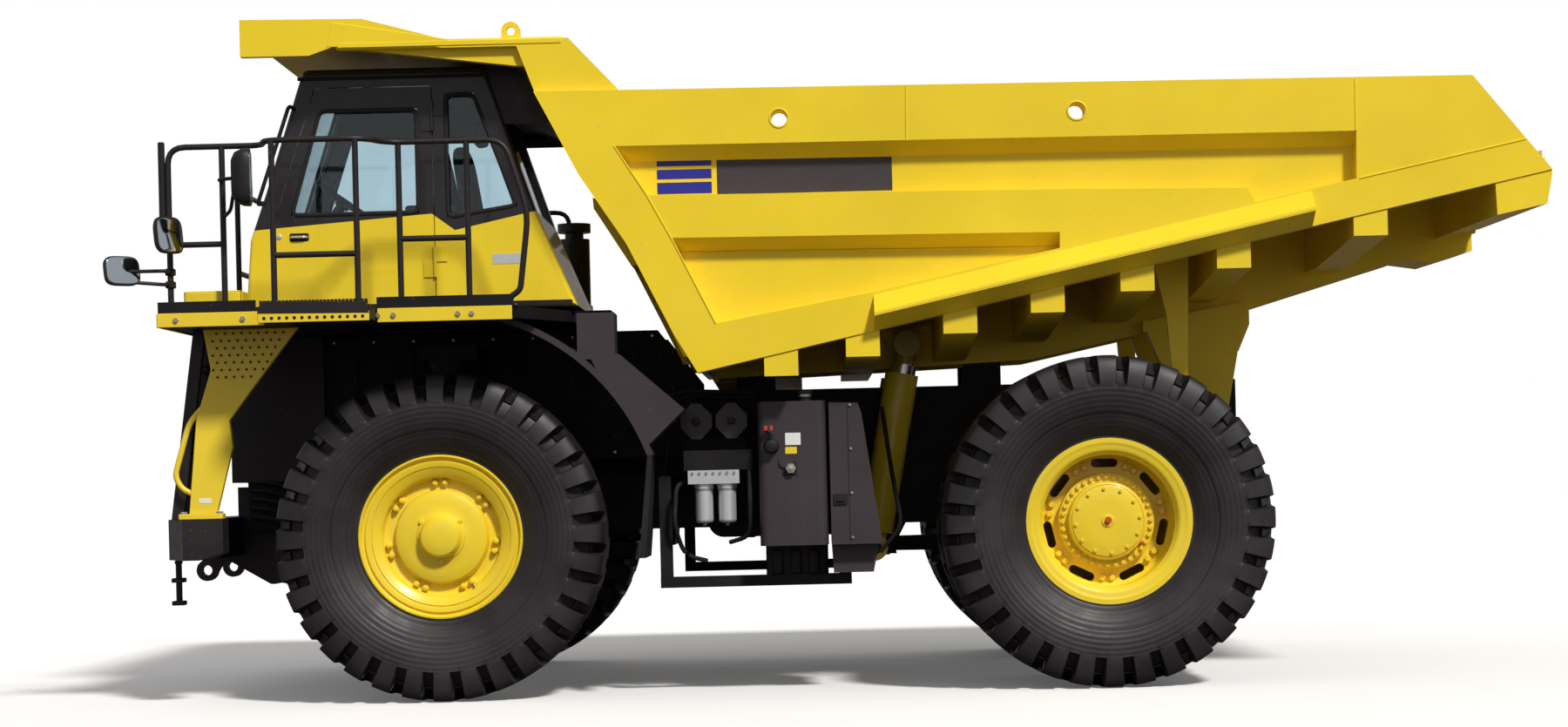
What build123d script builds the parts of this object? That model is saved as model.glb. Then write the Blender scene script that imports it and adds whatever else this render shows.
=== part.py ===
from build123d import *
import math
import os

# Rigid mining dump truck with a tipping body. Stations (x) are measured forward from the rear
# axle, y to the truck's left and z up from the ground; export_node() moves every piece so that
# the origin lies under the middle of the truck. All sizes are in millimetres.

# Driving dimensions: running gear
MIDDLE_STATION = 1680
WHEELBASE = 4300
TYRE_RADIUS = 1065
TYRE_WIDTH = 654
TYRE_BEAD_RADIUS = 446
SHOULDER_RADIUS = 960
FLAT_TREAD_HALF = 232
SIDEWALL_RADIUS = 700
SIDEWALL_SIDES = 16
LUG_COUNT = 32
SHOULDER_GROOVE = 100
TREAD_GROOVE = 60
GROOVE_STEEPNESS = 1.9
RIM_WIDTH = 432
RIM_FLANGE_RADIUS = 533
RIM_FLANGE_THICKNESS = 28
RIM_INNER_RADIUS = 425
RIM_DISC_THICKNESS = 40
FRONT_NAVE_RADIUS = 300
REAR_NAVE_RADIUS = 310
HAND_HOLE_COUNT = 7
HAND_HOLE_RADIUS = 378
HAND_HOLE_WIDTH = 56
FRONT_TYRE_Y = 1757
REAR_OUTER_TYRE_Y = 1921
DUAL_SPACING = 762
KINGPIN_Y = 1250
SPINDLE_RADIUS = 110
REAR_SPINDLE_RADIUS = 190
RUNNING_GAP = 0.3
MOVING_GAP = 6

# Driving dimensions: frame
RAIL_OUTER_Y = 430
RAIL_WIDTH = 130
RAIL_TOP_REAR = 2010
RAIL_TOP_FRONT = 1450
RAIL_BOTTOM = 1060
NOSE_REACH = 1350
TOWER_TOP = 2330
TOWER_BEAM = 100
TOWER_HALF_LENGTH = 190
ARM_TOP = 760
A_FRAME_HALF = 150
SUSPENSION_SEAT = 1060
REAR_CYLINDER_X = -420
REAR_CYLINDER_Y = 570
BUMPER_TOP = 1215
BUMPER_BOTTOM = 950
BUMPER_REACH = 1826
TOW_EYE_Z = 845
TOW_EYE_RADIUS = 35
TOW_LUG_Y = 430
PIVOT_X = -850
PIVOT_Z = 1800
PIVOT_PIN_RADIUS = 70
PIVOT_TUBE_RADIUS = 140

# Driving dimensions: side equipment
BATTERY_Y = 1300
TANK_Y = 1150
EQUIPMENT_OUTER_Y = 2000
EQUIPMENT_BOTTOM = 955
TANK_TOP = 1885
BATTERY_TOP = 1872
BATTERY_SHARE = 0.416
BOX_GAP = 18
REAR_TYRE_CLEARANCE = 384
FUEL_TANK_Y = 1300
GUARD_Y = 1620
AIR_TANK_RADIUS = 100
AIR_TANK_Z = 1772
FENDER_RADIUS = 1440
FENDER_THICKNESS = 40
FENDER_INNER_Y = 1320
FENDER_OUTER_Y = 2130
BRACKET_LOW = 1290
BRACKET_HIGH = 1420

# Driving dimensions: hoist cylinders
HOIST_FOOT = (WHEELBASE - 2820, 900)
HOIST_EYE = (WHEELBASE - 3080, 2300)
HOIST_Y = 640
HOIST_BARREL_RADIUS = 115
HOIST_STAGE_RADIUS = 92
HOIST_ROD_RADIUS = 70
HOIST_EYE_WIDTH = 150
HOIST_PIN_RADIUS = 50

# Driving dimensions: tipping body
BODY_HALF_WIDTH = 2250
SIDE_RIB_DEPTH = 120
BODY_WALL = 50
FLOOR_THICKNESS = 50
TAIL_BOTTOM = (-2855, 3234)
TAIL_TOP = (-2362, 3844)
TOE = (WHEELBASE - 1697, 2073)
RAIL_HOLE_RADIUS = 52
KEEL_OUTER_Y = 430
KEEL_WIDTH = 120
RIB_OFFSETS = [531, 1053, 1675, 2234, 2807, 3423, 4297]
RIB_WIDTH = 216
RIB_DROP = 146
RIB_CENTRE_Y = 900
FLOOR_LIFT = 95
EAR_INNER_Y = 446
EAR_WIDTH = 100
SPILL_GUARD_REACH = 130
SPILL_GUARD_HEIGHT = 225
CANOPY_INSET = 50
LIFTING_EYE_RADIUS = 28

# Driving dimensions: cab and decks
CAB_OUTER_Y = 1860
CAB_WIDTH = 1440
CAB_WALL = 60
CAB_CORNER = 28
CAB_FLOOR_Z = 2546
BELT_Z = 3080
ROOF_Z = 4100
DOOR_REAR = 7
DOOR_FRONT = 1065
DOOR_HINGE_Y = 1872
DOOR_HINGE_HEIGHTS = (2750, 3700)
HINGE_LENGTH = 100
SLAT_THICKNESS = 8
DECK_TOP = 2514
DECK_THICKNESS = 73
DECK_HALF_WIDTH = 2450
DECK_REACH = 1675
STEP_DEPTH = 250
KICK_PLATE = 75
RAIL_TOP_Z = 3565
HANDRAIL_RADIUS = 19
RAIL_INSET = 50
RAIL_REACH = 1600

# Sizes that follow from the ones above
AXLE_Z = TYRE_RADIUS
REAR_INNER_TYRE_Y = REAR_OUTER_TYRE_Y - DUAL_SPACING
BODY_PANEL_Y = BODY_HALF_WIDTH - SIDE_RIB_DEPTH
BODY_INNER_Y = BODY_PANEL_Y - BODY_WALL
CANOPY_HALF_WIDTH = BODY_HALF_WIDTH - CANOPY_INSET
FLOOR_SLOPE = (TOE[1] - TAIL_BOTTOM[1]) / (TOE[0] - TAIL_BOTTOM[0])
RIB_STATIONS = [TOE[0] - distance for distance in RIB_OFFSETS]
KEEL_LINE = [(TOE[0] - 43, 2100), (TOE[0] - 2247, 2178), (-1182, 2497), (-2309, 2826), (-2788, 2990)]
PAD_STATIONS = [(560, 820), (TOE[0] - 453, TOE[0] - 193)]
DECK_BOTTOM = DECK_TOP - DECK_THICKNESS
WALKWAY_Y = DECK_HALF_WIDTH + STEP_DEPTH
CAB_INNER_Y = CAB_OUTER_Y - CAB_WIDTH
CAB_MIDDLE_Y = CAB_OUTER_Y - CAB_WIDTH / 2
SEAT_INSET = 50
NOSE_X = WHEELBASE + NOSE_REACH
BAY_REAR = TYRE_RADIUS + REAR_TYRE_CLEARANCE
BAY_FRONT = WHEELBASE - 2063
BATTERY_FRONT = BAY_REAR + BATTERY_SHARE * (BAY_FRONT - BAY_REAR)
TANK_REAR = BATTERY_FRONT + BOX_GAP


def span(low_x, high_x, low_y, high_y, low_z, high_z):
    """Box between two opposite corners."""
    size = Box(high_x - low_x, high_y - low_y, high_z - low_z)
    return Pos((low_x + high_x) / 2, (low_y + high_y) / 2, (low_z + high_z) / 2) * size


def side_face(points, y):
    """Flat outline drawn in side view (x, z) at one y."""
    return make_face(Polyline(*[(x, y, z) for x, z in points], close=True))


def side_plate(points, low_y, high_y):
    """Plate whose outline is drawn in side view, between two planes of constant y."""
    return extrude(side_face(points, low_y), amount=high_y - low_y, dir=(0, 1, 0))


def cross_plate(points, low_x, high_x):
    """Plate whose outline is drawn in the front view (y, z), between two stations."""
    outline = make_face(Polyline(*[(low_x, y, z) for y, z in points], close=True))
    return extrude(outline, amount=high_x - low_x, dir=(1, 0, 0))


def deck_plate(points, low_z, high_z):
    """Plate whose outline is drawn in plan (x, y), between two heights."""
    outline = make_face(Polyline(*[(x, y, low_z) for x, y in points], close=True))
    return extrude(outline, amount=high_z - low_z, dir=(0, 0, 1))


def rod(start, end, radius):
    """Round bar from one point to another."""
    path = Vector(*end) - Vector(*start)
    return Plane(origin=start, z_dir=path) * Cylinder(
        radius, path.length, align=(Align.CENTER, Align.CENTER, Align.MIN)
    )


def cross_rod(x, z, low_y, high_y, radius):
    """Round bar along y."""
    return rod((x, low_y, z), (x, high_y, z), radius)


def bent_tube(points, radius):
    """Round tube through a list of points, with ball corners."""
    tube = rod(points[0], points[1], radius)
    for start, end in zip(points[1:], points[2:]):
        tube += Pos(*start) * Sphere(radius)
        tube += rod(start, end, radius)
    return tube


def ring(x, z, low_y, high_y, outer_radius, inner_radius):
    """Round ring about an axis along y."""
    bore = cross_rod(x, z, low_y - 1, high_y + 1, inner_radius)
    return cross_rod(x, z, low_y, high_y, outer_radius) - bore


def revolved(points):
    """Solid of revolution about the y axis; points are (place along the axis, radius)."""
    outline = make_face(Polyline(*[(0, place, radius) for place, radius in points], close=True))
    return revolve(outline, Axis.Y, 360)


def other_side(shape):
    """The same piece on the truck's right."""
    return mirror(shape, Plane.XZ)


def both_sides(shape):
    """A left piece together with its twin on the right."""
    return Compound([*shape.solids(), *other_side(shape).solids()])


def together(*shapes):
    """Separate solids of one sub-part."""
    return Compound([solid for shape in shapes for solid in shape.solids()])


def export_node(name, shape):
    """Write one piece that is drawn from the rear axle."""
    export_step(Pos(-MIDDLE_STATION, 0, 0) * shape, f"parts/{name}.step")


def export_front(name, shape):
    """Write one piece that is drawn from the front axle."""
    export_node(name, Pos(WHEELBASE, 0, 0) * shape)


def floor_line(x):
    """Height of the underside of the body's lower side rail at a station."""
    return TAIL_BOTTOM[1] + FLOOR_SLOPE * (x - TAIL_BOTTOM[0])


def keel_bottom(x):
    """Height of the keels' lower edge at a station."""
    for (high_x, high_z), (low_x, low_z) in zip(KEEL_LINE, KEEL_LINE[1:]):
        if low_x <= x <= high_x:
            return high_z + (low_z - high_z) * (x - high_x) / (low_x - high_x)
    return KEEL_LINE[0][1]


# Wheels


def tread_face(place, radius, groove_width):
    """Cross-section of the tread: flat lugs with a V groove between each pair."""
    depth = GROOVE_STEEPNESS * groove_width / 2
    half_pitch = math.pi / LUG_COUNT
    corner = radius
    for _ in range(3):
        half_groove = math.asin(groove_width / 2 / corner)
        corner = radius / math.cos(half_pitch - half_groove)
    bottom = corner * math.cos(half_groove) - depth
    points = []
    for groove in range(LUG_COUNT):
        middle = (2 * groove + 1) * half_pitch
        for turn, reach in ((-half_groove, corner), (0, bottom), (half_groove, corner)):
            points.append((reach * math.sin(middle + turn), place, reach * math.cos(middle + turn)))
    return make_face(Polyline(*points, close=True))


def polygon_face(place, radius):
    """Regular polygon about the y axis that clears a circle of the given radius."""
    corner = radius / math.cos(math.pi / SIDEWALL_SIDES)
    step = 2 * math.pi / SIDEWALL_SIDES
    turns = [side * step for side in range(SIDEWALL_SIDES)]
    points = [(corner * math.sin(turn), place, corner * math.cos(turn)) for turn in turns]
    return make_face(Polyline(*points, close=True))


def tyre():
    """Rock tyre about the origin: a ring of flat-topped lugs, tapered shoulders and coned sidewalls."""
    half = TYRE_WIDTH / 2
    bead = RIM_WIDTH / 2 - RIM_FLANGE_THICKNESS - RUNNING_GAP
    sections = [
        tread_face(-half, SHOULDER_RADIUS, SHOULDER_GROOVE),
        tread_face(-FLAT_TREAD_HALF, TYRE_RADIUS, TREAD_GROOVE),
        tread_face(FLAT_TREAD_HALF, TYRE_RADIUS, TREAD_GROOVE),
        tread_face(half, SHOULDER_RADIUS, SHOULDER_GROOVE),
    ]
    body = loft(sections, ruled=True)
    flange_clearance = RIM_FLANGE_RADIUS + 5
    slope = (SIDEWALL_RADIUS - flange_clearance) / (half - bead)
    for side in (1, -1):
        wide = polygon_face(side * (half + 5), SIDEWALL_RADIUS + 5 * slope)
        body -= loft([polygon_face(side * bead, flange_clearance), wide], ruled=True)
    bore_ends = [polygon_face(place, TYRE_BEAD_RADIUS) for place in (-bead - 1, bead + 1)]
    return body - loft(bore_ends, ruled=True)


def rim_barrel():
    """Rim barrel about the origin, with a turned-up flange and a gutter at its outer edge."""
    half = RIM_WIDTH / 2
    seat = TYRE_BEAD_RADIUS - RUNNING_GAP
    lip = half - RIM_FLANGE_THICKNESS
    points = [
        (-half, RIM_INNER_RADIUS),
        (lip - 20, RIM_INNER_RADIUS),
        (half - 18, seat),
        (half - 6, RIM_FLANGE_RADIUS - 50),
        (half, RIM_FLANGE_RADIUS - 30),
        (half, RIM_FLANGE_RADIUS),
        (lip, RIM_FLANGE_RADIUS),
        (lip, seat),
        (-lip, seat),
        (-lip, RIM_FLANGE_RADIUS),
        (-half, RIM_FLANGE_RADIUS),
    ]
    return revolved(points)


def rim_disc(face_place, cone_place, nave_radius):
    """Disc that joins the barrel to the hub, coned from the barrel down to its flat face."""
    back = face_place - RIM_DISC_THICKNESS
    bore = nave_radius + RUNNING_GAP
    points = [
        (back, bore),
        (face_place, bore),
        (face_place, RIM_INNER_RADIUS - 32),
        (cone_place, RIM_INNER_RADIUS + 2),
        (cone_place - RIM_DISC_THICKNESS, RIM_INNER_RADIUS + 2),
        (back, RIM_INNER_RADIUS - 25),
    ]
    return revolved(points)


def front_rim():
    """Front rim with its disc near the outer edge, so that the dish is shallow."""
    return rim_barrel() + rim_disc(104, 132, FRONT_NAVE_RADIUS)


def outer_rear_rim():
    """Outer rear rim: a deep dish with a ring of oval hand holes."""
    rim = rim_barrel() + rim_disc(-40, -12, REAR_NAVE_RADIUS)
    for hole in range(HAND_HOLE_COUNT):
        slot = Rot(0, hole * 360 / HAND_HOLE_COUNT, 0) * hand_hole()
        rim -= slot
    return rim


def hand_hole():
    """Tool that cuts one oval hand hole at the top of the disc."""
    bend = math.radians(9)
    half_length = HAND_HOLE_RADIUS * math.sin(bend)
    z = HAND_HOLE_RADIUS * math.cos(bend)
    tool = cross_rod(-half_length, z, -120, 40, HAND_HOLE_WIDTH / 2)
    tool += cross_rod(half_length, z, -120, 40, HAND_HOLE_WIDTH / 2)
    low_z = z - HAND_HOLE_WIDTH / 2
    return tool + span(-half_length, half_length, -120, 40, low_z, low_z + HAND_HOLE_WIDTH)


def inner_rear_rim():
    """Inner rear rim, its disc next to the outer rim's."""
    return rim_barrel() + rim_disc(100, 128, REAR_NAVE_RADIUS)


def front_hub():
    """Front hub about the wheel's middle: stepped drum with a domed cap, bored for the spindle."""
    inner = -200
    outer = 165
    hub = revolved(
        [
            (inner, 0),
            (inner, FRONT_NAVE_RADIUS),
            (outer - 20, FRONT_NAVE_RADIUS),
            (outer, FRONT_NAVE_RADIUS - 25),
            (outer + 12, 215),
            (outer + 30, 150),
            (outer + 75, 135),
            (outer + 100, 95),
            (outer + 106, 0),
        ]
    )
    return hub - cross_rod(0, 0, inner - 1, outer - 40, SPINDLE_RADIUS + RUNNING_GAP)


def knuckle():
    """Left steering knuckle: strut rod, brake housing and the spindle that carries the wheel."""
    post = rod((0, KINGPIN_Y, ARM_TOP + RUNNING_GAP), (0, KINGPIN_Y, 1560), 85)
    housing_end = FRONT_TYRE_Y - 200 - MOVING_GAP
    housing = cross_rod(0, AXLE_Z, KINGPIN_Y + 60, housing_end, FRONT_NAVE_RADIUS - 2)
    neck = cross_rod(0, AXLE_Z, KINGPIN_Y, KINGPIN_Y + 70, 200)
    spindle = cross_rod(0, AXLE_Z, KINGPIN_Y, FRONT_TYRE_Y + 110, SPINDLE_RADIUS)
    arm_points = [(-330, 900), (-90, 860), (90, 860), (70, 980), (-330, 980)]
    arm = side_plate(arm_points, KINGPIN_Y - 45, KINGPIN_Y + 45)
    return post + housing + neck + spindle + arm


def rear_hub():
    """Left rear final-drive hub that carries both rims, with its flange and cover."""
    low = REAR_INNER_TYRE_Y - 100
    high = REAR_OUTER_TYRE_Y + 40
    hub = revolved(
        [
            (low, 0),
            (low, REAR_NAVE_RADIUS),
            (high - 15, REAR_NAVE_RADIUS),
            (high, REAR_NAVE_RADIUS - 12),
            (high, 255),
            (high + 55, 245),
            (high + 70, 225),
            (high + 76, 60),
            (high + 96, 50),
            (high + 96, 0),
        ]
    )
    return hub - cross_rod(0, 0, low - 1, high - 150, REAR_SPINDLE_RADIUS + RUNNING_GAP)


# Chassis


def frame_rails():
    """Two box rails with the body's pivot pins and the hoists' feet."""
    rear_end = PIVOT_X - 230
    outline = [
        (rear_end, PIVOT_Z - 160),
        (-450, 1570),
        (560, 1570),
        (1000, RAIL_BOTTOM),
        (NOSE_X, RAIL_BOTTOM),
        (NOSE_X, RAIL_TOP_FRONT),
        (WHEELBASE - 1220, RAIL_TOP_FRONT),
        (WHEELBASE - 1540, RAIL_TOP_REAR),
        (rear_end, RAIL_TOP_REAR),
    ]
    rail = side_plate(outline, RAIL_OUTER_Y - RAIL_WIDTH, RAIL_OUTER_Y)
    rail += cross_rod(PIVOT_X, PIVOT_Z, RAIL_OUTER_Y - RAIL_WIDTH, RAIL_OUTER_Y + 10, PIVOT_TUBE_RADIUS)
    pin_end = EAR_INNER_Y + EAR_WIDTH + 14
    rail += cross_rod(PIVOT_X, PIVOT_Z, RAIL_OUTER_Y, pin_end, PIVOT_PIN_RADIUS)
    foot_x, foot_z = HOIST_FOOT
    cheek = [
        (foot_x - 110, foot_z - 60),
        (foot_x + 110, foot_z - 60),
        (foot_x + 260, RAIL_BOTTOM + 60),
        (foot_x - 260, RAIL_BOTTOM + 60),
    ]
    rail += side_plate(cheek, RAIL_OUTER_Y - 20, RAIL_OUTER_Y + 60)
    eye_low = HOIST_Y - HOIST_EYE_WIDTH / 2
    eye_high = HOIST_Y + HOIST_EYE_WIDTH / 2
    rail += cross_rod(foot_x, foot_z, RAIL_OUTER_Y, eye_low - RUNNING_GAP, 75)
    rail += cross_rod(foot_x, foot_z, RAIL_OUTER_Y, eye_high + 15, HOIST_PIN_RADIUS)
    return both_sides(rail)


def frame_crossmembers():
    """Tubes that tie the rails together, the hanger for the rear axle's A-frame and the front towers."""
    half = RAIL_OUTER_Y - RAIL_WIDTH
    pivot_tube = cross_rod(PIVOT_X, PIVOT_Z, -half, half, PIVOT_TUBE_RADIUS)
    middle_tube = cross_rod(1560, 1500, -half, half, 150)
    hanger_points = [(1460, 1450), (1660, 1450), (1450, 840), (1310, 840)]
    hanger = side_plate(hanger_points, A_FRAME_HALF, A_FRAME_HALF + 60)
    middle_tube += hanger + other_side(hanger)
    fore_tube = cross_rod(2150, 1750, -half, half, 120)
    nose_tube = cross_rod(NOSE_X - 170, 1200, -half, half, 100)
    tower_points = [
        (RAIL_OUTER_Y, 1180),
        (RAIL_OUTER_Y, TOWER_TOP - TOWER_BEAM),
        (-RAIL_OUTER_Y, TOWER_TOP - TOWER_BEAM),
        (-RAIL_OUTER_Y, 1180),
        (-RAIL_OUTER_Y - 60, 1600),
        (145 - KINGPIN_Y, TOWER_TOP - TOWER_BEAM),
        (-KINGPIN_Y - 130, TOWER_TOP - TOWER_BEAM),
        (-KINGPIN_Y - 130, TOWER_TOP),
        (KINGPIN_Y + 130, TOWER_TOP),
        (KINGPIN_Y + 130, TOWER_TOP - TOWER_BEAM),
        (KINGPIN_Y - 145, TOWER_TOP - TOWER_BEAM),
        (RAIL_OUTER_Y + 60, 1600),
    ]
    towers = cross_plate(tower_points, WHEELBASE - TOWER_HALF_LENGTH, WHEELBASE + TOWER_HALF_LENGTH)
    return together(pivot_tube, middle_tube, fore_tube, nose_tube, towers)


def equipment_brackets():
    """Arms on the rails' outer faces that carry the tanks, boxes and guards."""
    arms = [
        span(BATTERY_FRONT - 200, BATTERY_FRONT - 60, RAIL_OUTER_Y, BATTERY_Y, BRACKET_LOW, BRACKET_HIGH),
        span(TANK_REAR + 60, BAY_FRONT - 60, RAIL_OUTER_Y, TANK_Y, BRACKET_LOW, BRACKET_HIGH),
        span(BAY_REAR + 130, BAY_REAR + 270, -FUEL_TANK_Y, -RAIL_OUTER_Y, BRACKET_LOW, BRACKET_HIGH),
        span(WHEELBASE - 1840, WHEELBASE - 1700, -FUEL_TANK_Y, -RAIL_OUTER_Y, BRACKET_LOW, BRACKET_HIGH),
        span(WHEELBASE - 1480, WHEELBASE - 1400, RAIL_OUTER_Y, GUARD_Y, BRACKET_LOW, BRACKET_HIGH),
        span(WHEELBASE - 1480, WHEELBASE - 1400, -GUARD_Y, -RAIL_OUTER_Y, BRACKET_LOW, BRACKET_HIGH),
    ]
    cradle = span(BAY_FRONT + 223, BAY_FRONT + 323, RAIL_OUTER_Y, 1710, 1483, 1583)
    cradle += span(BAY_FRONT + 43, BAY_FRONT + 488, 1700, 1850, 1453, 1583)
    seat = AIR_TANK_Z - AIR_TANK_RADIUS - RUNNING_GAP
    for y in (1100, 1600):
        cradle += span(BAY_FRONT + 93, BAY_FRONT + 488, y, y + 40, 1560, seat)
    return together(*arms, cradle)


def lower_arms():
    """A-shaped lower suspension arm on each side, from the frame to under the kingpin."""
    arm = deck_plate(
        [(-420, RAIL_OUTER_Y - 60), (420, RAIL_OUTER_Y - 60), (110, KINGPIN_Y + 50), (-110, KINGPIN_Y + 50)],
        ARM_TOP - 80,
        ARM_TOP,
    )
    window = [(-230, RAIL_OUTER_Y + 60), (230, RAIL_OUTER_Y + 60), (0, KINGPIN_Y - 180)]
    arm -= deck_plate(window, ARM_TOP - 100, ARM_TOP + 100)
    for x in (-360, 360):
        low_z = ARM_TOP - 40
        outline = [(x - 60, low_z), (x + 60, low_z), (x + 130, RAIL_BOTTOM), (x - 130, RAIL_BOTTOM)]
        arm += side_plate(outline, RAIL_OUTER_Y - 100, RAIL_OUTER_Y - 20)
    return both_sides(arm)


def front_struts():
    """Upper barrels of the front suspension struts, hung under the frame's towers."""
    top = TOWER_TOP - TOWER_BEAM
    barrel = rod((0, KINGPIN_Y, 1470), (0, KINGPIN_Y, top), 125)
    barrel += rod((0, KINGPIN_Y, 1470), (0, KINGPIN_Y, 1520), 140)
    barrel += rod((0, KINGPIN_Y, top - 50), (0, KINGPIN_Y, top), 145)
    barrel -= rod((0, KINGPIN_Y, 1460), (0, KINGPIN_Y, top - 130), 85 + RUNNING_GAP)
    return Pos(WHEELBASE, 0, 0) * both_sides(barrel)


def rear_axle():
    """Banjo housing, axle tubes, brake housings, spindles and the A-frame to the front."""
    banjo = [(-420, 0), (-420, 200), (-250, 330), (-90, 395), (90, 395), (250, 330), (420, 200), (420, 0)]
    axle = Pos(0, 0, AXLE_Z) * revolved(banjo)
    axle += cross_rod(0, AXLE_Z, -1000, 1000, 230)
    end = cross_rod(0, AXLE_Z, 700, REAR_INNER_TYRE_Y - 100 - MOVING_GAP, 390)
    end += cross_rod(0, AXLE_Z, 900, REAR_OUTER_TYRE_Y - 120, REAR_SPINDLE_RADIUS)
    ear = [(-520, 960), (-100, 900), (-100, 1200), (-320, SUSPENSION_SEAT), (-520, SUSPENSION_SEAT)]
    end += side_plate(ear, REAR_CYLINDER_Y - 70, REAR_CYLINDER_Y + 70)
    axle += end + other_side(end)
    axle += rod((350, 0, AXLE_Z), (480, 0, AXLE_Z), 150)
    half = A_FRAME_HALF - RUNNING_GAP
    outline = [(200, -560), (1250, -half), (1380, -half), (1380, half), (1250, half), (200, 560)]
    window = [(420, -330), (1180, -60), (1180, 60), (420, 330)]
    frame = deck_plate(outline, 860, 960) - deck_plate(window, 800, 1000)
    return axle + frame + cross_rod(1380, 910, -half, half, 75)


def rear_suspension():
    """Two suspension cylinders between the axle's rear ears and brackets on the frame rails."""
    x = REAR_CYLINDER_X
    y = REAR_CYLINDER_Y
    cylinder = rod((x, y, SUSPENSION_SEAT), (x, y, 1500), 75)
    cylinder += rod((x, y, 1350), (x, y, 1720), 105)
    cylinder += rod((x, y, SUSPENSION_SEAT), (x, y, SUSPENSION_SEAT + 60), 100)
    cylinder += span(x - 110, x + 110, RAIL_OUTER_Y, y + 90, 1700, 1850)
    return both_sides(cylinder)


def powertrain():
    """Engine and gearbox as one plain block between the rails, with the shaft to the rear axle."""
    half = RAIL_OUTER_Y - RAIL_WIDTH - RUNNING_GAP
    rear = WHEELBASE - 1050
    front = WHEELBASE + 650
    block = span(rear, front, -half, half, 1200, 1500) + span(rear, front, -400, 400, 1500, 2200)
    block += span(rear - 950, rear + 50, -260, 260, 1150, 1700)
    flange = (rear - 950, 0, 1230)
    shaft = rod((480, 0, AXLE_Z), (530, 0, AXLE_Z), 110)
    shaft += rod((515, 0, AXLE_Z), (flange[0] - 25, 0, flange[2]), 60)
    shaft += rod((flange[0] - 50, 0, flange[2]), (flange[0] - RUNNING_GAP, 0, flange[2]), 110)
    return together(block, shaft)


def front_bumper():
    """Wide cross beam at the nose with swept-back ends, a skid under it and two towing lugs."""
    reach = BUMPER_REACH
    swept_rear = reach - 426
    swept_end = [(reach - 166, 1980), (swept_rear, 1980), (swept_rear, 1800)]
    half_plan = [(reach, 1650), *swept_end, (reach - 266, 1560)]
    plan = [(x, -y) for x, y in reversed(half_plan)] + half_plan
    bumper = deck_plate(plan, BUMPER_BOTTOM, BUMPER_TOP)
    low_z = BUMPER_BOTTOM - 5
    relief = [(reach - 250, low_z), (reach - 430, low_z), (reach - 430, BUMPER_BOTTOM + 48)]
    bumper -= side_plate(relief, -2000, 2000)
    skid = [
        (reach - 74, BUMPER_BOTTOM + 10),
        (reach - 444, 742),
        (NOSE_REACH + 2, 740),
        (NOSE_REACH + 2, RAIL_BOTTOM + 40),
        (reach - 280, RAIL_BOTTOM + 40),
    ]
    bumper += side_plate(skid, -540, 540)
    bumper += span(NOSE_REACH, reach - 226, -520, 520, RAIL_BOTTOM - 40, RAIL_TOP_FRONT - 30)
    eye_x = reach + 14
    low_y = TOW_LUG_Y - 30
    high_y = TOW_LUG_Y + 30
    lug = side_plate([(reach - 140, 960), (reach, 960), (reach + 84, 880), (reach - 30, 785)], low_y, high_y)
    lug += cross_rod(eye_x, TOW_EYE_Z, low_y, high_y, 75)
    lug -= cross_rod(eye_x, TOW_EYE_Z, low_y - 10, high_y + 10, TOW_EYE_RADIUS)
    return bumper + lug + other_side(lug)


def radiator():
    """Radiator shroud behind the nose with a louvred grille in its front."""
    shroud = span(950, 1600, -700, 700, RAIL_TOP_FRONT, DECK_BOTTOM)
    low_z = RAIL_TOP_FRONT + 60
    high_z = DECK_BOTTOM - 60
    shroud -= span(1520, 1610, -620, 620, low_z, high_z)
    for y in (-310, 0, 310):
        shroud += span(1515, 1590, y - 18, y + 18, low_z - 5, high_z + 5)
    pitch = 110
    for index in range(1, int((high_z - low_z) / pitch)):
        z = low_z + index * pitch
        shroud += side_plate([(1518, z), (1518, z - 12), (1580, z - 46), (1580, z - 34)], -625, 625)
    return shroud


# Decks, steps and rails


def front_deck():
    """Deck across the truck over the front wheels, with kick plates, the walkway step and a locker."""
    rear = -880
    plan = [
        (DECK_REACH, -DECK_HALF_WIDTH),
        (DECK_REACH, DECK_HALF_WIDTH),
        (1000, DECK_HALF_WIDTH),
        (1000, WALKWAY_Y),
        (305, WALKWAY_Y),
        (305, DECK_HALF_WIDTH),
        (-550, DECK_HALF_WIDTH),
        (rear, CAB_OUTER_Y - 80),
        (rear - 240, CAB_OUTER_Y - 80),
        (rear - 240, CAB_OUTER_Y - 510),
        (rear, CAB_OUTER_Y - 510),
        (rear, 80 - CAB_OUTER_Y),
        (-550, -DECK_HALF_WIDTH),
    ]
    deck = deck_plate(plan, DECK_BOTTOM, DECK_TOP)
    lip = 12
    kick_top = DECK_TOP + KICK_PLATE
    deck += span(1060, DECK_REACH, DECK_HALF_WIDTH - lip, DECK_HALF_WIDTH, DECK_TOP, kick_top)
    deck += span(-550, 300, DECK_HALF_WIDTH - lip, DECK_HALF_WIDTH, DECK_TOP, kick_top)
    deck += span(-550, DECK_REACH, -DECK_HALF_WIDTH, lip - DECK_HALF_WIDTH, DECK_TOP, kick_top)
    deck += span(1180, 1540, CAB_OUTER_Y + 140, CAB_OUTER_Y + 440, DECK_TOP - 1, DECK_TOP + 145)
    for x in (-680, 1050):
        for y in (CAB_OUTER_Y - 150, CAB_INNER_Y + 150):
            deck += rod((x, y, DECK_TOP - 5), (x, y, CAB_FLOOR_Z), 90)
    return deck


def engine_hood():
    """Raised cover over the engine beside the cab, and the air cleaner's drum behind it."""
    cover = [(-820, DECK_TOP), (1550, DECK_TOP), (1550, 2620), (1300, 2690), (-820, 2690)]
    hood = side_plate(cover, -560, CAB_INNER_Y - 20)
    drum = rod((-640, -1200, DECK_TOP), (-640, -1200, 3240), 115)
    drum += rod((-640, -1200, 3240), (-640, -1200, 3290), 70)
    drum += rod((-640, -1200, 3290), (-640, -1200, 3357), 125)
    return together(hood, drum)


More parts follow.
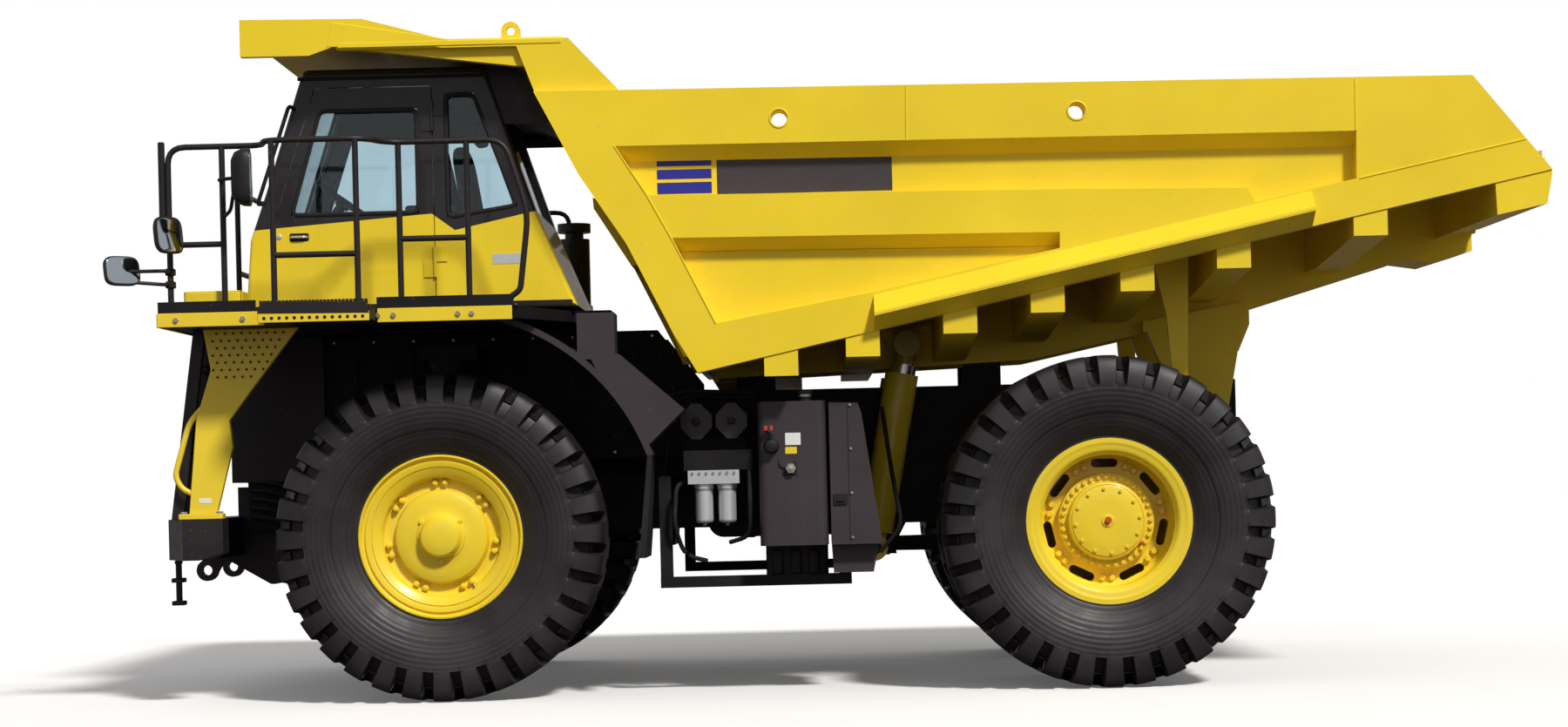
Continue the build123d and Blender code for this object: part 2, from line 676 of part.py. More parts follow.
def front_fenders():
    """Curved mudguards behind the front wheels with their rear lobes, and the flaps under them."""
    low_z = 1560
    outer = FENDER_RADIUS + FENDER_THICKNESS
    guard = ring(0, AXLE_Z, FENDER_INNER_Y, FENDER_OUTER_Y, outer, FENDER_RADIUS)
    guard = guard & span(-outer - 60, 0, FENDER_INNER_Y, FENDER_OUTER_Y, low_z, DECK_BOTTOM)
    lobe = [(-996, 2212), (-1186, 2212), (-1601, 1847), (-1361, 1618), (-1310, 1700), (-1060, 2080)]
    guard += side_plate(lobe, FENDER_OUTER_Y - 280, FENDER_OUTER_Y)
    guard += span(-1165, -925, FENDER_OUTER_Y - 280, FENDER_OUTER_Y, 2180, 2477)
    flap = side_plate([(-1388, low_z), (-1356, low_z), (-1290, 900), (-1330, 900)], 1500, FENDER_OUTER_Y)
    return both_sides(guard), both_sides(flap)


def left_handrails():
    """Left guard rails round the deck, with the gate beside the door."""
    low = DECK_TOP
    top = RAIL_TOP_Z
    edge = DECK_HALF_WIDTH - RAIL_INSET
    gate = WALKWAY_Y - RAIL_INSET
    path = [
        (RAIL_REACH, edge, low),
        (RAIL_REACH, edge, top),
        (1000, edge, top),
        (950, gate, top),
        (320, gate, top),
        (220, edge, top),
        (-520, edge, top),
        (-660, edge, 3100),
        (-600, edge, low + 100),
        (-535, edge, low + 60),
        (-535, edge, low),
    ]
    rails = bent_tube(path, HANDRAIL_RADIUS)
    for x in (1260, 150, -280):
        rails += rod((x, edge, low), (x, edge, top), HANDRAIL_RADIUS)
    for x in (900, 380):
        rails += rod((x, gate, low), (x, gate, top), HANDRAIL_RADIUS)
    rails += rod((RAIL_REACH, edge, 2950), (1260, edge, 2950), HANDRAIL_RADIUS)
    rails += rod((900, gate, 2850), (380, gate, 2850), HANDRAIL_RADIUS)
    return rails + rod((150, edge, 2955), (-280, edge, 2955), HANDRAIL_RADIUS)


def right_handrails():
    """Right guard rail, and the rail across the nose as far as the cab."""
    low = DECK_TOP
    top = RAIL_TOP_Z
    edge = RAIL_INSET - DECK_HALF_WIDTH
    path = [(-500, edge, low), (-500, edge, top), (RAIL_REACH, edge, top), (RAIL_REACH, edge, low)]
    rails = bent_tube(path, HANDRAIL_RADIUS)
    for x in (1260, 400):
        rails += rod((x, edge, low), (x, edge, top), HANDRAIL_RADIUS)
    rails += rod((-500, edge, 2990), (RAIL_REACH, edge, 2990), HANDRAIL_RADIUS)
    nose_top = top - 60
    rails += rod((RAIL_REACH, edge, nose_top), (RAIL_REACH, 300, nose_top), HANDRAIL_RADIUS)
    rails += rod((RAIL_REACH, edge, 2930), (RAIL_REACH, 300, 2930), HANDRAIL_RADIUS)
    for y in (300, -1050):
        rails += rod((RAIL_REACH, y, low), (RAIL_REACH, y, nose_top + 25), HANDRAIL_RADIUS)
    return rails


def access_ladder():
    """Column, ladder and hanging step from below the bumper up to the deck, on the left."""
    foot = BUMPER_TOP
    outline = [
        (1503, DECK_BOTTOM),
        (1459, 2178),
        (1562, 1855),
        (1620, foot + 36),
        (1690, foot + 36),
        (1690, foot),
        (1400, foot),
        (1400, foot + 36),
        (1442, foot + 36),
        (1330, 1680),
        (1348, 1849),
        (1197, 2048),
        (890, DECK_BOTTOM),
    ]
    column = side_plate(outline, 1900, 1950)
    grip = [(1560, 1380), (1670, 1414), (1712, 1498), (1612, 1840), (1545, 1900)]
    column += bent_tube([(x, 1925, z) for x, z in grip], HANDRAIL_RADIUS)
    stile = side_plate([(1680, foot), (1760, foot), (1590, DECK_BOTTOM), (1510, DECK_BOTTOM)], 1560, 1600)
    ladder = stile + Pos(0, 250, 0) * stile
    for step in range(4):
        z = foot + 165 + 265 * step
        x = 1700 - (z - foot) * 0.139
        ladder += span(x - 60, x + 40, 1580, 1830, z, z + 35)
    hanging = span(BUMPER_REACH - 86, BUMPER_REACH - 6, 1530, 1640, 650, 690)
    hanging += span(BUMPER_REACH - 86, BUMPER_REACH - 6, 1530, 1640, 800, 830)
    for y in (1545, 1625):
        hanging += rod((BUMPER_REACH - 46, y, 660), (BUMPER_REACH - 46, y, BUMPER_BOTTOM), 14)
    return together(column, ladder, hanging)


def mirrors():
    """Rear-view mirrors on arms from the guard rail and the front corner, on both sides."""
    rail_y = DECK_HALF_WIDTH - RAIL_INSET
    root = rail_y + HANDRAIL_RADIUS + RUNNING_GAP
    tall = span(1035, 1165, rail_y + 120, rail_y + 300, 3173, 3513)
    tall = fillet(tall.edges().filter_by(Axis.Z), 38)
    tall += bent_tube([(1150, rail_y + 180, 3343), (1260, rail_y + 120, 3343), (1260, root, 3343)], 14)
    low = Pos(1818, rail_y + 150, 2780) * Rot(0, 0, 28) * span(-50, 50, -120, 120, -90, 90)
    low_arm = [(1800, rail_y + 120, 2780), (RAIL_REACH, rail_y + 120, 2780), (RAIL_REACH, root, 2780)]
    low += bent_tube(low_arm, 14)
    tilt = Plane(origin=(1580, rail_y + 150, 3010), z_dir=(-0.7, 0.35, -0.62))
    disc = tilt * Cylinder(105, 34)
    disc_arm = [(1590, rail_y + 140, 3010), (RAIL_REACH, rail_y + 60, 3010), (RAIL_REACH, root, 3010)]
    disc += bent_tube(disc_arm, 14)
    mast_x = RAIL_REACH + HANDRAIL_RADIUS + RUNNING_GAP
    mast = span(mast_x, RAIL_REACH + 60, rail_y - 20, rail_y + 20, 3050, 3600)
    return together(both_sides(tall), both_sides(low), both_sides(disc), mast)


def headlamps():
    """Two lamp housings in the bumper on each side."""
    lamps = []
    for low_y in (900, 1180):
        lamp = span(BUMPER_REACH, BUMPER_REACH + 24, low_y, low_y + 200, 1020, 1160)
        lamps.append(fillet(lamp.edges().filter_by(Axis.X), 30))
    return both_sides(together(*lamps))


# Cab


def cab_outline():
    """Side view of the cab."""
    return [
        (1241, CAB_FLOOR_Z),
        (1203, 3017),
        (1094, 3325),
        (858, 4049),
        (840, ROOF_Z),
        (-344, ROOF_Z),
        (-370, ROOF_Z - 81),
        (-654, 3168),
        (-912, CAB_FLOOR_Z),
    ]


def cab_skin(inset):
    """The cab's side outline, drawn in by an inset, across its whole width."""
    outline = side_face(cab_outline(), CAB_INNER_Y)
    if inset:
        outline = offset(outline, amount=-inset, kind=Kind.INTERSECTION)
    return extrude(outline, amount=CAB_WIDTH, dir=(0, 1, 0))


def windscreen_space(shrink):
    """Opening in the cab's front wall."""
    low_y = CAB_INNER_Y + 90 + shrink
    return span(780, 1300, low_y, CAB_OUTER_Y - 90 - shrink, BELT_Z + 50 + shrink, ROOF_Z - 90 - shrink)


def rear_window_space(shrink):
    """Opening in the cab's rear wall."""
    low_y = CAB_INNER_Y + 130 + shrink
    return span(-1000, -315, low_y, CAB_OUTER_Y - 130 - shrink, BELT_Z + 90 + shrink, ROOF_Z - 140 - shrink)


def cab_shell():
    """Hollow cab with its window and door openings, still in one piece."""
    outside = cab_skin(0)
    for y in (CAB_INNER_Y, CAB_OUTER_Y):
        side = outside.faces().filter_by(Axis.Y).filter_by_position(Axis.Y, y - 1, y + 1)
        outside = fillet(side.edges(), CAB_CORNER)
    room = span(-1200, 1500, CAB_INNER_Y + CAB_WALL, CAB_OUTER_Y - CAB_WALL, 2000, 5000)
    shell = outside - (cab_skin(CAB_WALL) & room)
    shell -= door_outline(MOVING_GAP, CAB_OUTER_Y - CAB_WALL - 5, CAB_OUTER_Y + 5)
    shell -= quarter_window(0, CAB_OUTER_Y - CAB_WALL - 5, CAB_OUTER_Y + 5)
    shell -= side_window(0, CAB_INNER_Y - 5, CAB_INNER_Y + CAB_WALL + 5)
    shell -= windscreen_space(0) + rear_window_space(0)
    for z in DOOR_HINGE_HEIGHTS:
        low_z = z + HINGE_LENGTH + RUNNING_GAP
        shell += hinge_half(low_z, DOOR_REAR - 80, DOOR_REAR - 7)
    return shell


def hinge_half(low_z, low_x, high_x):
    """Barrel and leaf of half a door hinge."""
    high_z = low_z + HINGE_LENGTH
    barrel = rod((DOOR_REAR - 3, DOOR_HINGE_Y, low_z), (DOOR_REAR - 3, DOOR_HINGE_Y, high_z), 11)
    return barrel + span(low_x, high_x, CAB_OUTER_Y - 2, CAB_OUTER_Y + 8, low_z, high_z)


def door_outline(gap, low_y, high_y):
    """Cab door as a plate, grown by a gap all round."""
    points = [
        (DOOR_REAR - gap, CAB_FLOOR_Z + 40 - gap),
        (DOOR_FRONT + gap, CAB_FLOOR_Z + 40 - gap),
        (DOOR_FRONT + gap, BELT_Z - 20),
        (DOOR_FRONT - 305 + gap, ROOF_Z - 110 + gap),
        (DOOR_REAR - gap, ROOF_Z - 110 + gap),
    ]
    return side_plate(points, low_y, high_y)


def door_window(shrink, low_y, high_y):
    """Window in the door."""
    low = BELT_Z + 88 + shrink
    high = ROOF_Z - 251 - shrink
    points = [
        (DOOR_REAR + 93 + shrink, low),
        (DOOR_FRONT - 130 - shrink, low),
        (DOOR_FRONT - 330 - shrink, high),
        (DOOR_REAR + 93 + shrink, high),
    ]
    return side_plate(points, low_y, high_y)


def quarter_window(shrink, low_y, high_y):
    """Slanted window behind the door."""
    points = [
        (-80 - shrink, BELT_Z + 50 + shrink),
        (-80 - shrink, ROOF_Z - 160 - shrink),
        (-270 + shrink, ROOF_Z - 160 - shrink),
        (-540 + shrink, BELT_Z + 120 + shrink),
    ]
    return side_plate(points, low_y, high_y)


def side_window(shrink, low_y, high_y):
    """Long window in the cab's right wall."""
    points = [
        (-520 + shrink, BELT_Z + 90 + shrink),
        (990 - shrink, BELT_Z + 90 + shrink),
        (740 - shrink, ROOF_Z - 160 - shrink),
        (-260 + shrink, ROOF_Z - 160 - shrink),
    ]
    return side_plate(points, low_y, high_y)


def cab_lower(shell):
    """Lower half of the cab, up to the belt line."""
    return shell & span(-1000, 1300, CAB_INNER_Y - 50, CAB_OUTER_Y + 50, CAB_FLOOR_Z - 10, BELT_Z)


def cab_upper(shell):
    """Pillars and roof above the belt line."""
    return shell & span(-1000, 1300, CAB_INNER_Y - 50, CAB_OUTER_Y + 50, BELT_Z, ROOF_Z + 50)


def cab_door():
    """Left door panel with its window cut and two hinges on the rear edge."""
    door = door_outline(0, CAB_OUTER_Y - CAB_WALL, CAB_OUTER_Y)
    door -= door_window(0, CAB_OUTER_Y - CAB_WALL - 5, CAB_OUTER_Y + 5)
    for z in DOOR_HINGE_HEIGHTS:
        door += hinge_half(z, DOOR_REAR, DOOR_REAR + 70)
    return door


def cab_glass():
    """Fixed panes: windscreen, quarter window, right window and rear window."""
    middle = CAB_WALL / 2
    quarter = quarter_window(RUNNING_GAP, CAB_OUTER_Y - middle - 3, CAB_OUTER_Y - middle + 3)
    right = side_window(RUNNING_GAP, CAB_INNER_Y + middle - 3, CAB_INNER_Y + middle + 3)
    sheet = cab_skin(middle - 3) - cab_skin(middle + 3)
    front = sheet & windscreen_space(RUNNING_GAP)
    rear = sheet & rear_window_space(RUNNING_GAP)
    return together(quarter, right, front, rear)


def door_glass():
    """Pane in the door's window."""
    middle = CAB_OUTER_Y - CAB_WALL / 2
    return door_window(RUNNING_GAP, middle - 3, middle + 3)


def cab_interior():
    """Operator's seat on its pedestal, and the dash with its column and steering wheel."""
    y = CAB_MIDDLE_Y - SEAT_INSET
    floor = CAB_FLOOR_Z + CAB_WALL
    seat = span(-50, 250, y - 150, y + 150, floor, floor + 330)
    cushion = span(-150, 400, y - 260, y + 260, floor + 330, floor + 460)
    seat += fillet(cushion.edges().filter_by(Axis.Y), 50)
    rest = [(-150, floor + 440), (-10, floor + 440), (-120, floor + 1080), (-240, floor + 1080)]
    back = side_plate(rest, y - 240, y + 240)
    seat += fillet(back.edges().filter_by(Axis.Y).sort_by(Axis.Z)[-2:], 45)
    for side in (-1, 1):
        seat += span(-100, 260, y + side * 290 - 35, y + side * 290 + 35, floor + 600, floor + 660)
        seat += span(-80, 0, y + side * 275 - 22, y + side * 275 + 22, floor + 420, floor + 610)
    low_y = CAB_INNER_Y + CAB_WALL
    outline = [(850, floor), (1160, floor), (1130, 3010), (1080, 3120), (900, 3100)]
    console = side_plate(outline, low_y, CAB_OUTER_Y - CAB_WALL - 60)
    console += rod((950, y, 3000), (710, y, 3335), 40)
    wheel_plane = Plane(origin=(710, y, 3335), z_dir=(-0.58, 0, 0.81))
    console += wheel_plane * (Cylinder(240, 30) - Cylinder(208, 40))
    console += wheel_plane * Box(30, 440, 20)
    return together(seat, console)


def rear_guard():
    """Louvred guard over the cab's rear window: four curved slats between two side brackets."""
    pillar_slope = (654 - 370) / (ROOF_Z - 81 - 3168)
    low_z = ROOF_Z - 360
    bracket = [
        (-215, ROOF_Z),
        (-344, ROOF_Z),
        (-370, ROOF_Z - 81),
        (-370 - pillar_slope * (ROOF_Z - 81 - low_z), low_z),
        (-748, low_z),
        (-655, ROOF_Z - 145),
        (-605, ROOF_Z - 50),
        (-380, ROOF_Z + 42),
        (-215, ROOF_Z + 50),
    ]
    low_y = CAB_INNER_Y + 50
    high_y = CAB_OUTER_Y - 50
    guard = side_plate(bracket, low_y, low_y + 12) + side_plate(bracket, high_y - 12, high_y)
    starts = [(-215, ROOF_Z + 40), (-400, ROOF_Z - 85), (-434, ROOF_Z - 185), (-468, ROOF_Z - 285)]
    for index, (start_x, start_z) in enumerate(starts):
        end_x = -600 - 44 * index
        end_z = ROOF_Z - 60 - 94 * index
        guard += slat(start_x, start_z, end_x, end_z, low_y + 5, high_y - 5)
    return guard


def slat(start_x, start_z, end_x, end_z, low_y, high_y):
    """One guard slat: a plate bent to a shallow arc between two points of the side view."""
    length = math.hypot(end_x - start_x, end_z - start_z)
    rise = 0.085 * length
    normal_x = (end_z - start_z) / length
    normal_z = -(end_x - start_x) / length
    edges = []
    for thickness in (0, SLAT_THICKNESS):
        shift = rise + thickness
        start = (start_x + normal_x * thickness, low_y, start_z + normal_z * thickness)
        end = (end_x + normal_x * thickness, low_y, end_z + normal_z * thickness)
        middle = ((start_x + end_x) / 2 + normal_x * shift, low_y, (start_z + end_z) / 2 + normal_z * shift)
        edges.append((start, middle, end))
    inner, outer = edges
    wire = Wire(
        [
            ThreePointArc(*inner).edge(),
            Line(inner[2], outer[2]).edge(),
            ThreePointArc(*reversed(outer)).edge(),
            Line(outer[0], inner[0]).edge(),
        ]
    )
    return extrude(make_face(wire), amount=high_y - low_y, dir=(0, 1, 0))


# Side equipment


def hydraulic_tank():
    """Hydraulic tank on the left, with its filler neck, sight plug and a pressed door panel."""
    tank = span(TANK_REAR, BAY_FRONT, TANK_Y, EQUIPMENT_OUTER_Y, EQUIPMENT_BOTTOM, TANK_TOP)
    tank = fillet(tank.edges().filter_by(Axis.Z), 60)
    middle = (TANK_REAR + BAY_FRONT) / 2
    tank += cross_rod(middle + 44, 1500, EQUIPMENT_OUTER_Y - 10, EQUIPMENT_OUTER_Y + 15, 45)
    tank += rod((middle - 90, 1880, TANK_TOP - 5), (middle - 90, 1880, TANK_TOP + 50), 38)
    return tank + rod((middle - 90, 1880, TANK_TOP + 45), (middle - 90, 1880, TANK_TOP + 75), 48)


def battery_box():
    """Box behind the tank with a slanted rear face."""
    slant = 0.36 * (BATTERY_FRONT - BAY_REAR)
    outline = [
        (BATTERY_FRONT, EQUIPMENT_BOTTOM),
        (BAY_REAR, EQUIPMENT_BOTTOM),
        (BAY_REAR + slant, BATTERY_TOP - 72),
        (BAY_REAR + slant + 24, BATTERY_TOP - 6),
        (BATTERY_FRONT, BATTERY_TOP),
    ]
    box = side_plate(outline, BATTERY_Y, EQUIPMENT_OUTER_Y)
    foot = [
        (BAY_REAR + 60, 770),
        (BATTERY_FRONT - 10, 770),
        (BATTERY_FRONT, EQUIPMENT_BOTTOM),
        (BAY_REAR + 20, EQUIPMENT_BOTTOM),
    ]
    return box + side_plate(foot, GUARD_Y + 110, EQUIPMENT_OUTER_Y - 110)


def fuel_tank():
    """Fuel tank on the right, held by two straps."""
    low_x = BAY_REAR + 51
    high_x = WHEELBASE - 1600
    tank = span(low_x, high_x, -EQUIPMENT_OUTER_Y, -FUEL_TANK_Y, EQUIPMENT_BOTTOM, 1850)
    tank = fillet(tank.edges().filter_by(Axis.Y), 120)
    for x in (low_x + 290, high_x - 350):
        strap = span(x, x + 60, -EQUIPMENT_OUTER_Y - 8, -FUEL_TANK_Y, EQUIPMENT_BOTTOM - 8, 1858)
        tank += strap
    neck = (low_x + 500, -EQUIPMENT_OUTER_Y + 150)
    return tank + rod((*neck, 1840), (*neck, 1920), 60)


def air_tanks():
    """Two air reservoirs lying across the truck, with eight-sided end plates."""
    tanks = []
    for x in (BAY_FRONT + 402, BAY_FRONT + 173):
        tank = cross_rod(x, AIR_TANK_Z, 1000, 1790, AIR_TANK_RADIUS)
        plate = Rot(90, 0, 0) * extrude(RegularPolygon(AIR_TANK_RADIUS + 12, 8, rotation=22.5), amount=20)
        tank += Pos(x, 1800, AIR_TANK_Z) * plate
        tank += cross_rod(x, AIR_TANK_Z, 1795, 1812, 30)
        tanks.append(tank)
    return together(*tanks)


def filter_bank():
    """Filter head with two canisters that have rounded bottoms."""
    bank = span(BAY_FRONT + 130, BAY_FRONT + 463, 1700, 1860, 1365, 1453)
    for x in (BAY_FRONT + 363, BAY_FRONT + 213):
        canister = rod((x, 1780, 1110), (x, 1780, 1345), 58)
        canister = fillet(canister.edges().sort_by(Axis.Z)[0], 22)
        bank += canister + rod((x, 1780, 1335), (x, 1780, 1370), 66)
    return bank


def side_guards():
    """Bars along the lower edge of the equipment on both sides."""
    low_x = BAY_REAR + 201
    high_x = WHEELBASE - 1400
    bar = span(low_x, high_x, GUARD_Y, GUARD_Y + 100, 690, 760)
    bar += span(high_x - 80, high_x, GUARD_Y, GUARD_Y + 80, 750, BRACKET_HIGH)
    bar += span(low_x, low_x + 80, GUARD_Y + 20, GUARD_Y + 80, 750, EQUIPMENT_BOTTOM)
    return both_sides(bar)


# Hoist cylinders


def hoist_direction():
    """Unit vector (x, z) from a hoist cylinder's foot to its eye, and the distance between them."""
    dx = HOIST_EYE[0] - HOIST_FOOT[0]
    dz = HOIST_EYE[1] - HOIST_FOOT[1]
    length = math.hypot(dx, dz)
    return dx / length, dz / length, length


def hoist_point(distance):
    """Point on the left cylinder's axis at a distance from its foot."""
    ux, uz, _ = hoist_direction()
    return (HOIST_FOOT[0] + ux * distance, HOIST_Y, HOIST_FOOT[1] + uz * distance)


def hoist_barrel():
    """Left barrel, pinned to the frame, with a gland ring at its mouth."""
    length = hoist_direction()[2]
    low = HOIST_Y - HOIST_EYE_WIDTH / 2
    high = HOIST_Y + HOIST_EYE_WIDTH / 2
    barrel = rod(hoist_point(110), hoist_point(length - 210), HOIST_BARREL_RADIUS)
    barrel += rod(hoist_point(60), hoist_point(120), HOIST_EYE_WIDTH / 2)
    barrel -= rod(hoist_point(170), hoist_point(length), HOIST_STAGE_RADIUS + RUNNING_GAP)
    barrel += cross_rod(HOIST_FOOT[0], HOIST_FOOT[1], low, high, 95)
    barrel -= cross_rod(HOIST_FOOT[0], HOIST_FOOT[1], low - 80, high + 80, HOIST_PIN_RADIUS + RUNNING_GAP)
    return barrel


def hoist_stage():
    """Left middle stage, sliding in the barrel."""
    length = hoist_direction()[2]
    stage = rod(hoist_point(176), hoist_point(length - 150), HOIST_STAGE_RADIUS)
    return stage - rod(hoist_point(206), hoist_point(length), HOIST_ROD_RADIUS + RUNNING_GAP)


def hoist_rod():
    """Left rod with the eye at the body; its pin head fills the eye."""
    length = hoist_direction()[2]
    low = HOIST_Y - HOIST_EYE_WIDTH / 2
    high = HOIST_Y + HOIST_EYE_WIDTH / 2
    piece = rod(hoist_point(212), hoist_point(length - 30), HOIST_ROD_RADIUS)
    return piece + cross_rod(HOIST_EYE[0], HOIST_EYE[1], low, high, 90)


# Tipping body


def body_floor():
    """Sloping floor plate between the side walls."""
    low_x = TAIL_BOTTOM[0] + 20
    high_x = TOE[0] + 30
    points = [
        (low_x, floor_line(low_x) + FLOOR_LIFT),
        (high_x, floor_line(high_x) + FLOOR_LIFT),
        (high_x, floor_line(high_x) + FLOOR_LIFT + FLOOR_THICKNESS),
        (low_x, floor_line(low_x) + FLOOR_LIFT + FLOOR_THICKNESS),
    ]
    return side_plate(points, -BODY_INNER_Y, BODY_INNER_Y)


def side_recess(rim, floor_points):
    """Recess in a side wall, from its rim at the ribs' faces to its floor at the panel."""
    faces = [side_face(rim, BODY_HALF_WIDTH), side_face(floor_points, BODY_PANEL_Y)]
    return loft(faces, ruled=True) + side_plate(rim, BODY_HALF_WIDTH - 1, BODY_HALF_WIDTH + 5)


def body_side():
    """Left side wall: panel with a top rail, a mid rib, a front post and a lower rail round two recesses."""
    front = WHEELBASE
    outline = [
        (front - 696, 3885),
        (front - 970, 3352),
        (front - 1264, 2902),
        (front - 1554, 2314),
        TOE,
        TAIL_BOTTOM,
        TAIL_TOP,
    ]
    side = side_plate(outline, BODY_INNER_Y, BODY_HALF_WIDTH)
    upper_rest = [(front - 1401, 3208), (281, 3183), (-917, 3162), (-965, 3070), (-1610, 3206)]
    upper_rim = [(front - 1201, 3525), *upper_rest, (-1615, 3508)]
    upper_floor = [(front - 1258, 3435), *upper_rest, (-1614, 3418)]
    side -= side_recess(upper_rim, upper_floor)
    lower_rest = [(TOE[0] - 122, 2383), (TOE[0] - 1131, 2558), (284, 2810)]
    lower_rim = [(front - 1549, 2933), *lower_rest, (282, 2911)]
    lower_floor = [(front - 1588, 2853), *lower_rest, (283, 2831)]
    side -= side_recess(lower_rim, lower_floor)
    for x in (front - 2251, 157):
        side -= cross_rod(x, 3678, BODY_INNER_Y - 5, BODY_HALF_WIDTH + 5, RAIL_HOLE_RADIUS)
    return side


def body_front_wall():
    """Front wall leaning forward over the cab's rear, with a cross box on its outer face."""
    wall = [
        (-1660, 2185),
        (-1600, 2185),
        (-1284, 2902),
        (-990, 3352),
        (-726, 3860),
        (-800, 3860),
        (-1060, 3370),
        (-1360, 2910),
    ]
    plate = side_plate(wall, -BODY_INNER_Y, BODY_INNER_Y)
    box = [(-1320, 2830), (-1240, 2826), (-1000, 3210), (-994, 3282), (-1080, 3260)]
    plate += side_plate(box, -1450, 1450)
    for y in (-750, 750):
        plate += side_plate([(-1640, 2190), (-1540, 2190), (-1200, 2890), (-1270, 2890)], y - 60, y + 60)
    return plate


def body_canopy():
    """Canopy plate over the cab with deep front cheeks, side skirts and two lifting eyes."""
    sill = 3885
    outline = [
        (1170, 4392),
        (390, 4381),
        (-133, 4238),
        (-920, 4229),
        (-1240, sill),
        (-700, sill),
        (-590, 4185),
        (-110, 4185),
        (420, 4305),
        (1170, 4315),
    ]
    canopy = side_plate(outline, -CANOPY_HALF_WIDTH, CANOPY_HALF_WIDTH)
    cheek_points = [(1170, 4392), (390, 4381), (490, 4237), (734, 4154), (1170, 4156)]
    trim = side_plate(cheek_points, CANOPY_HALF_WIDTH - 60, CANOPY_HALF_WIDTH)
    skirt = [(520, 4330), (600, 4215), (-580, 4066), (-822, 4060), (-916, 4215), (-133, 4215)]
    trim += side_plate(skirt, CANOPY_HALF_WIDTH - 120, CANOPY_HALF_WIDTH - 50)
    eye_x = -550
    eye_z = 4290
    low_y = CANOPY_HALF_WIDTH - 100
    high_y = low_y + 40
    trim += cross_rod(eye_x, eye_z, low_y, high_y, 60)
    trim += span(eye_x - 60, eye_x + 60, low_y, high_y, 4200, eye_z)
    trim -= cross_rod(eye_x, eye_z, low_y - 10, high_y + 10, LIFTING_EYE_RADIUS)
    return canopy + trim + other_side(trim)


def floor_room():
    """Space below the floor plate and inside the side walls, where the ribs and keels go."""
    room = [(x, floor_line(x) + FLOOR_LIFT) for x in (4000, -4000)] + [(-4000, 1000), (4000, 1000)]
    space = side_plate(room, -2600, 2600)
    beside = [(x, floor_line(x)) for x in (4000, -4000)] + [(-4000, 4500), (4000, 4500)]
    outside = side_plate(beside, BODY_INNER_Y, 2600)
    return space - outside - other_side(outside)


def body_keels():
    """Two keels under the floor, with the pivot ears, hoist cheeks and body lock plates."""
    front_x = KEEL_LINE[0][0]
    rear_x = KEEL_LINE[-1][0]
    keel = side_plate([*KEEL_LINE, (rear_x, 3400), (front_x, 2400)], KEEL_OUTER_Y - KEEL_WIDTH, KEEL_OUTER_Y)
    keel = keel & floor_room()
    low_y = EAR_INNER_Y
    high_y = EAR_INNER_Y + EAR_WIDTH
    ear_points = [
        (PIVOT_X - 150, PIVOT_Z - 60),
        (PIVOT_X + 150, PIVOT_Z - 60),
        (PIVOT_X + 420, keel_bottom(PIVOT_X + 420) + 80),
        (PIVOT_X - 300, keel_bottom(PIVOT_X - 300) + 50),
    ]
    ear = side_plate(ear_points, low_y, high_y)
    flange = [
        (PIVOT_X + 420, keel_bottom(PIVOT_X + 420)),
        (PIVOT_X + 420, keel_bottom(PIVOT_X + 420) + 80),
        (PIVOT_X - 300, keel_bottom(PIVOT_X - 300) + 50),
        (PIVOT_X - 300, keel_bottom(PIVOT_X - 300)),
    ]
    ear += side_plate(flange, KEEL_OUTER_Y - 10, high_y)
    ear += cross_rod(PIVOT_X, PIVOT_Z, low_y, high_y, 160)
    ear -= cross_rod(PIVOT_X, PIVOT_Z, low_y - 5, high_y + 5, PIVOT_PIN_RADIUS + RUNNING_GAP)
    eye_x, eye_z = HOIST_EYE
    cheek_low = KEEL_OUTER_Y - 10
    cheek = [(eye_x - 90, eye_z - 80), (eye_x + 90, eye_z - 80), (eye_x + 180, 2400), (eye_x - 180, 2440)]
    keel += ear + side_plate(cheek, cheek_low, KEEL_OUTER_Y + 90)
    keel += cross_rod(eye_x, eye_z, KEEL_OUTER_Y, HOIST_Y - HOIST_EYE_WIDTH / 2 - RUNNING_GAP, 70)
    lock = [(-960, 2480), (-1190, 2530), (-1190, 2390), (-1110, 2205), (-1040, 2195), (-975, 2270)]
    plates = side_plate(lock, KEEL_OUTER_Y - 40, KEEL_OUTER_Y - 10)
    plates -= cross_rod(-1062, 2277, KEEL_OUTER_Y - 50, KEEL_OUTER_Y, 26)
    return both_sides(keel + plates)


def body_ribs():
    """Cross ribs under the floor, cut round the keels, and the bolster under the tail."""
    ribs = None
    for x in RIB_STATIONS:
        edge = floor_line(x) - RIB_DROP
        middle = max(edge - 100, keel_bottom(x) + 5)
        outline = [
            (-BODY_HALF_WIDTH + 10, edge + 400),
            (BODY_HALF_WIDTH - 10, edge + 400),
            (BODY_HALF_WIDTH - 10, edge),
            (RIB_CENTRE_Y, middle),
            (-RIB_CENTRE_Y, middle),
            (10 - BODY_HALF_WIDTH, edge),
        ]
        rib = cross_plate(outline, x - RIB_WIDTH / 2, x + RIB_WIDTH / 2)
        ribs = rib if ribs is None else ribs + rib
    bolster = [(-2483, 3400), (TAIL_BOTTOM[0], 3400), (TAIL_BOTTOM[0], 3200), (-2820, 3017), (-2501, 2953)]
    ribs += side_plate(bolster, 10 - BODY_HALF_WIDTH, BODY_HALF_WIDTH - 10)
    half = KEEL_OUTER_Y - KEEL_WIDTH
    tail_box = [(-2309, 2830), (-2520, 2797), (-2788, 2875), (-2788, 3200), (-2309, 3200)]
    ribs += side_plate(tail_box, -half, half)
    ribs = ribs & floor_room()
    for low_y in (half, -KEEL_OUTER_Y):
        ribs -= span(-3000, 4000, low_y, low_y + KEEL_WIDTH, 1500, 4000)
    return together(ribs)


